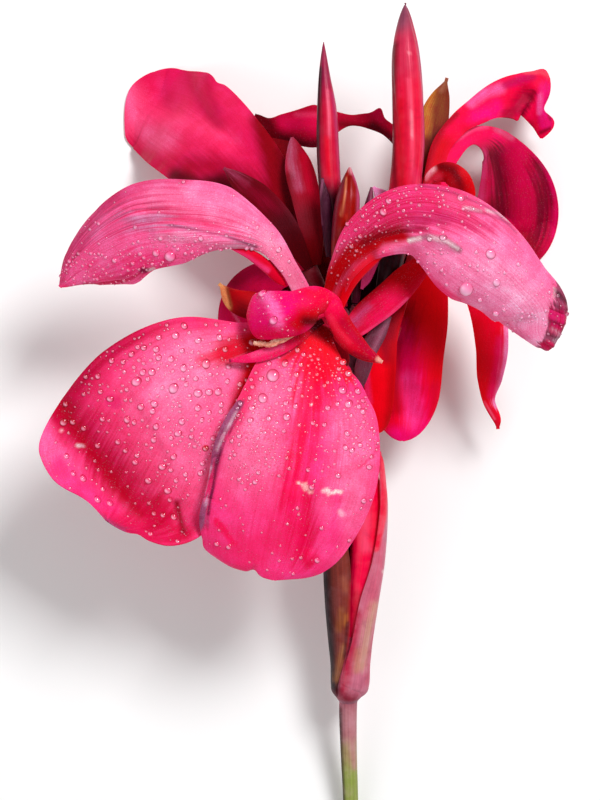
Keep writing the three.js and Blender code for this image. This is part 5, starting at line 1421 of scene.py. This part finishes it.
OTHERS["bud_tip"] = dict(
    slot="bud_dark", colour=0x540E28,
    washes=[(0x823C5A, 0.8, 0.7, 0.7, [16.2, 76.7, 15.8, 73]), (0x1E020C, 0.9, 3, 3, [13, 56, 14, 64])],
    veins=[0.3],
    stations=[
        [11.7, 44, 41.5, 1.1], [13, 55.6, 42.5, 1.7], [14.9, 67.4, 43, 2], [15.8, 73.1, 43, 1.1],
        [16.2, 76.7, 43, 0.3],
    ])


# ---------------------------------------------------------------- pieces in their places

def place_all(forms):
    for node, form in forms.items():
        place(make_piece(node + "_fine", form), node, form["slot"])


def sepals_of(tube, start, turn):
    """The forms of a tube's three sepals, which begin this far along it, the first at this turn."""
    length, half_width = 9, 1.7
    outline = [(0, -0.7, 0.7), (0.35, 0.5, 1), (0.7, 0.8, 0.8), (1, 1.2, 0.3)]
    curve = Curve(tube["stations"])
    _, _, face, right = curve.frames(np.array([float(start)]))
    sepals = []
    for k in range(3):
        angle = math.radians(turn + 120 * k)
        out = right[0] * math.cos(angle) + face[0] * math.sin(angle)
        stations = []
        for share, distance, width in outline:
            station = curve.at(np.array([start + share * length]))[0]
            point = station[:3] + out * (station[3] + distance)
            stations.append([*point, width * half_width, width * half_width, 0, -25, -25])
        sepals.append(dict(colour=tube["colour"], stations=stations, facing=out, veins=[0.5],
                           thickness=SEPAL_THICKNESS, spacing=0.4))
    return sepals


for tube, start, turn in (("front_tube", 6, 20), ("left_tube", 7, 90), ("right_tube", 8, 50)):
    OTHERS[tube]["parts"] = sepals_of(OTHERS[tube], start, turn)
place_all(PETALS)
place(join([make_blade("inner_feet_and_shade_sheets", dict(foot, spacing=0.6)) for foot in FEET_AND_SHADE_SHEETS]), None,
      "petal_crimson")
place_all(OTHERS)


# ---------------------------------------------------------------- dew

LIGHT_SIDE = np.array([0.61, 0.79])  # where the light comes from, as seen from above
BIG_DROP = 0.75  # drops with a larger radius get a finer mesh
DROP_FLATNESS = 0.6
DROP_STRETCH = (0.88, 1.14)
DROP_SINK = 0.1  # of its radius that a drop sits in the petal
DROP_CROWDING = 0.95  # the least distance of two drops, as a share of both radii together
SMALLER_MORE_OFTEN = 1.3
DEW_ACROSS = np.linspace(-0.97, 0.97, 120)  # places on a petal where drops may lie
DEW_ALONG = np.linspace(0.05, 0.97, 200)


def drop_shape(segments, rings):
    select()
    bpy.ops.mesh.primitive_uv_sphere_add(segments=segments, ring_count=rings, radius=1)
    bpy.ops.object.shade_smooth()
    thing = bpy.context.object
    thing.data.color_attributes.new("tint", "FLOAT_COLOR", "POINT")
    return thing


def drop_tint(colour, offsets):
    """A drop's paint: painted shade round its rim and on the side of the light, a painted glow on the
    far side.
    """
    toward = offsets[:, :2] @ LIGHT_SIDE
    lateral = np.linalg.norm(offsets[:, :2], axis=1)
    painted_rim_shade = smooth_step(0.62, 0.96, lateral) * (0.75 + 0.35 * toward)
    shade = 0.45 * smooth_step(-0.1, 0.8, toward)
    painted_glow = 0.95 * smooth_step(-0.4, 0.6, -toward) * (1 - smooth_step(0.72, 0.92, lateral))
    pale = colour + (1 - colour) * np.array([0.7, 0.3, 0.42])
    tint = colour * (1 - painted_glow[:, None]) + pale * painted_glow[:, None]
    dark = np.maximum(painted_rim_shade, shade)[:, None]
    return tint * (1 - dark * np.array([0.5, 0.95, 0.82]))


def lay_dew(node, count, sizes, seed, spots):
    """Drops on a petal's face: those at the spots (x, y, radius), and smaller ones between them."""
    form = PETALS[node]
    draw = random.Random(seed)
    across, along = [side.ravel() for side in np.meshgrid(DEW_ACROSS, DEW_ALONG)]
    points = surface(form, across, along)
    tints = tint_of(form, points, across, along)
    wanted = []
    for x, y, radius in spots:
        away = (points[:, 0] - x) ** 2 + (points[:, 1] - y) ** 2 - 0.02 * points[:, 2]
        wanted.append((int(np.argmin(away)), radius))
    likely = np.cumsum(marks_of(form, points)[:, 2] + 0.01)
    for _ in range(count):
        i = int(np.searchsorted(likely, draw.uniform(0, likely[-1])))
        wanted.append((i, sizes[0] * (sizes[1] / sizes[0]) ** (draw.random() ** SMALLER_MORE_OFTEN)))
    fine, coarse = drop_shape(16, 10), drop_shape(8, 4)
    laid = []
    drops = []
    for i, radius in wanted:
        if any(np.linalg.norm(points[i] - spot) < DROP_CROWDING * (radius + other)
               for spot, other in laid):
            continue
        laid.append((points[i], radius))
        normal = Vector(surface_normal(form, across[i:i + 1], along[i:i + 1])[0])
        centre = Vector(points[i]) + normal * (BLADE_THICKNESS / 2 - DROP_SINK * radius)
        source = fine if radius > BIG_DROP else coarse
        drop = source.copy()
        drop.data = source.data.copy()
        stretch = draw.uniform(*DROP_STRETCH)
        size = Matrix.Diagonal((radius * stretch, radius / stretch, radius * DROP_FLATNESS, 1))
        drop.data.transform(normal.to_track_quat("Z", "Y").to_matrix().to_4x4() @ size)
        offsets = np.array([vertex.co for vertex in drop.data.vertices]) / radius
        paint(drop.data.color_attributes["tint"], drop_tint(tints[i], offsets))
        drop.data.transform(Matrix.Scale(MM, 4) @ Matrix.Translation(centre))
        bpy.context.collection.objects.link(drop)
        drops.append(drop)
    for source in (fine, coarse):
        bpy.data.objects.remove(source)
    dew = join(drops)
    dew.name = dew.data.name = node + "_dew"
    place(dew, None, "dew")


lay_dew("front_staminode_lower", count=760, sizes=(0.26, 1.15), seed=11, spots=[
    (-49.1, 21.6, 1.46), (-39.1, 19.8, 1.52), (-30.1, 26.6, 1.38), (-32.3, 18.4, 1.3),
    (-32.1, 33, 1.02), (-36.7, 30.3, 0.83), (-39.7, 27.7, 1.02), (-36.3, 25.3, 1.1),
    (-38.4, 34.5, 1.11), (-35.9, 37.1, 1.02), (-43.9, 30.4, 1.02), (-47.1, 30.7, 0.91),
    (-50.4, 29, 0.91), (-43.2, 33.7, 0.91), (-44.4, 15.5, 1.1), (-32.2, 14.3, 1.02),
    (-26.7, 18.9, 1.16), (-26, 15.3, 0.91), (-36.5, 10.6, 1.05), (-37.9, 7.5, 1.11), (-33.2, 3.9, 0.75),
    (-26.3, 33.8, 1.02), (-27.1, 37.3, 0.75), (-29.9, 37.4, 0.64), (-43, 25.2, 0.63),
    (-32.9, 22.4, 0.83), (-36.2, 22.4, 0.75), (-52.2, 24.5, 0.74), (-49.6, 25.7, 0.74),
    (-53.2, 19.1, 0.63), (-50.6, 16.4, 0.63), (-24.1, 21.6, 0.83), (-34, 29.6, 0.64),
    (-45.2, 27.4, 0.69), (-40.5, 11.1, 0.64), (-46.2, 9.5, 0.55), (-30.2, 3.2, 0.83),
])
lay_dew("front_labellum", count=680, sizes=(0.24, 0.9), seed=12, spots=[
    (-4.6, 30.5, 0.91), (-8, 26.6, 1.11), (-5, 23.5, 0.91), (-11.5, 23.3, 1.93), (-3.7, 26.3, 0.83),
    (-6.9, 19.4, 0.91), (-14.2, 16.9, 1.46), (-17.9, 16.9, 0.77), (-17.4, 14.2, 0.91), (-8, 15.5, 0.83),
    (-10.5, 15.5, 0.63), (-12.4, 11.5, 0.83), (-7.7, 11.7, 1.16), (-17.6, 10.9, 0.91), (7.7, 19.1, 1.3),
    (9.4, 23.8, 1.11), (8.6, 27.2, 1.02), (11.9, 19.1, 1.02), (9.4, 15.5, 1.24), (3.8, 14.4, 0.91),
    (13.3, 16.4, 0.75), (13.2, 13.3, 0.91), (10.1, 12.2, 0.69), (-17.1, 20.2, 0.77), (-13.8, 7.6, 0.63),
    (-15.5, 6.1, 0.63), (-20.9, 12.1, 0.69),
])
lay_dew("front_stamen", count=40, sizes=(0.2, 0.5), seed=15, spots=[
    (-14.1, 45.5, 1.18), (-11.2, 38.2, 1.25), (-9, 44.2, 0.55), (-12.6, 42, 0.55), (-3.9, 45.9, 0.49),
    (-7.7, 38.7, 0.49),
])
lay_dew("front_staminode_upper_left", count=320, sizes=(0.24, 0.7), seed=13, spots=[
    (-55.3, 55.3, 0.83), (-48.1, 56.9, 0.74), (-43.6, 57.1, 1.16), (-39.6, 56.2, 1.65),
    (-31, 60.8, 0.82), (-33.8, 57.3, 0.63), (-28.6, 58.4, 0.63), (-15.7, 64.1, 0.74), (-18.5, 64, 0.63),
    (-10, 58.2, 0.91), (-7.2, 55.2, 0.64), (-42.3, 61, 0.77), (-50.3, 54.5, 0.75), (-51.6, 52.7, 0.64),
])
lay_dew("front_staminode_upper_right", count=320, sizes=(0.24, 0.7), seed=14, spots=[
    (18.9, 68.1, 1.21), (20.5, 71.1, 0.99), (40, 71.7, 1.1), (48.2, 56.4, 1.51), (50.1, 49.1, 1.21),
    (41.9, 47.2, 2.21), (42.7, 53.4, 0.55), (52.3, 51.6, 0.55), (50.6, 40.8, 0.95), (55.9, 54.1, 0.77),
    (45.9, 44.6, 0.77), (31.4, 60.4, 0.82), (34.9, 60.6, 1.09), (12.6, 61.7, 0.77), (11.5, 63.6, 0.69),
    (10.2, 59.1, 0.77), (70.7, 40.7, 0.78),
])


# ---------------------------------------------------------------- camera, floor and light

STUDIO_AIM = (0, 0.02, 0.04)


def area_light(name, spot, size, power):
    light = bpy.data.lights.new(name, "AREA")
    light.size = size
    light.energy = power
    lamp = bpy.data.objects.new(name, light)
    lamp.location = spot
    lamp.rotation_euler = (Vector(STUDIO_AIM) - Vector(spot)).to_track_quat("-Z", "Y").to_euler()
    bpy.context.scene.collection.objects.link(lamp)


def make_floor():
    select()
    bpy.ops.mesh.primitive_plane_add(size=6, location=(0, 0, -0.0002))
    floor = bpy.context.object
    floor.name = "floor"
    pale = Shader("floor").finish(Base_Color=(0.93, 0.93, 0.93, 1), Roughness=0.9)
    floor.data.materials.append(pale)


def make_camera():
    camera = bpy.data.cameras.new("camera")
    camera.sensor_fit = "VERTICAL"
    camera.sensor_height = 36
    camera.lens = 112.5
    holder = bpy.data.objects.new("camera", camera)
    holder.location = (-0.004, 0.0165, 0.750)
    bpy.context.scene.collection.objects.link(holder)
    bpy.context.scene.camera = holder


def make_world():
    world = bpy.data.worlds.new("studio")
    world.use_nodes = True
    background = world.node_tree.nodes["Background"]
    background.inputs["Color"].default_value = (1, 1, 1, 1)
    background.inputs["Strength"].default_value = 0.38
    bpy.context.scene.world = world
    bpy.context.scene.view_settings.view_transform = "Standard"


make_camera()
make_floor()
area_light("key", (0.42, 0.55, 0.95), size=0.36, power=11.5)
area_light("fill", (-0.7, -0.5, 0.8), size=0.9, power=3.5)
make_world()
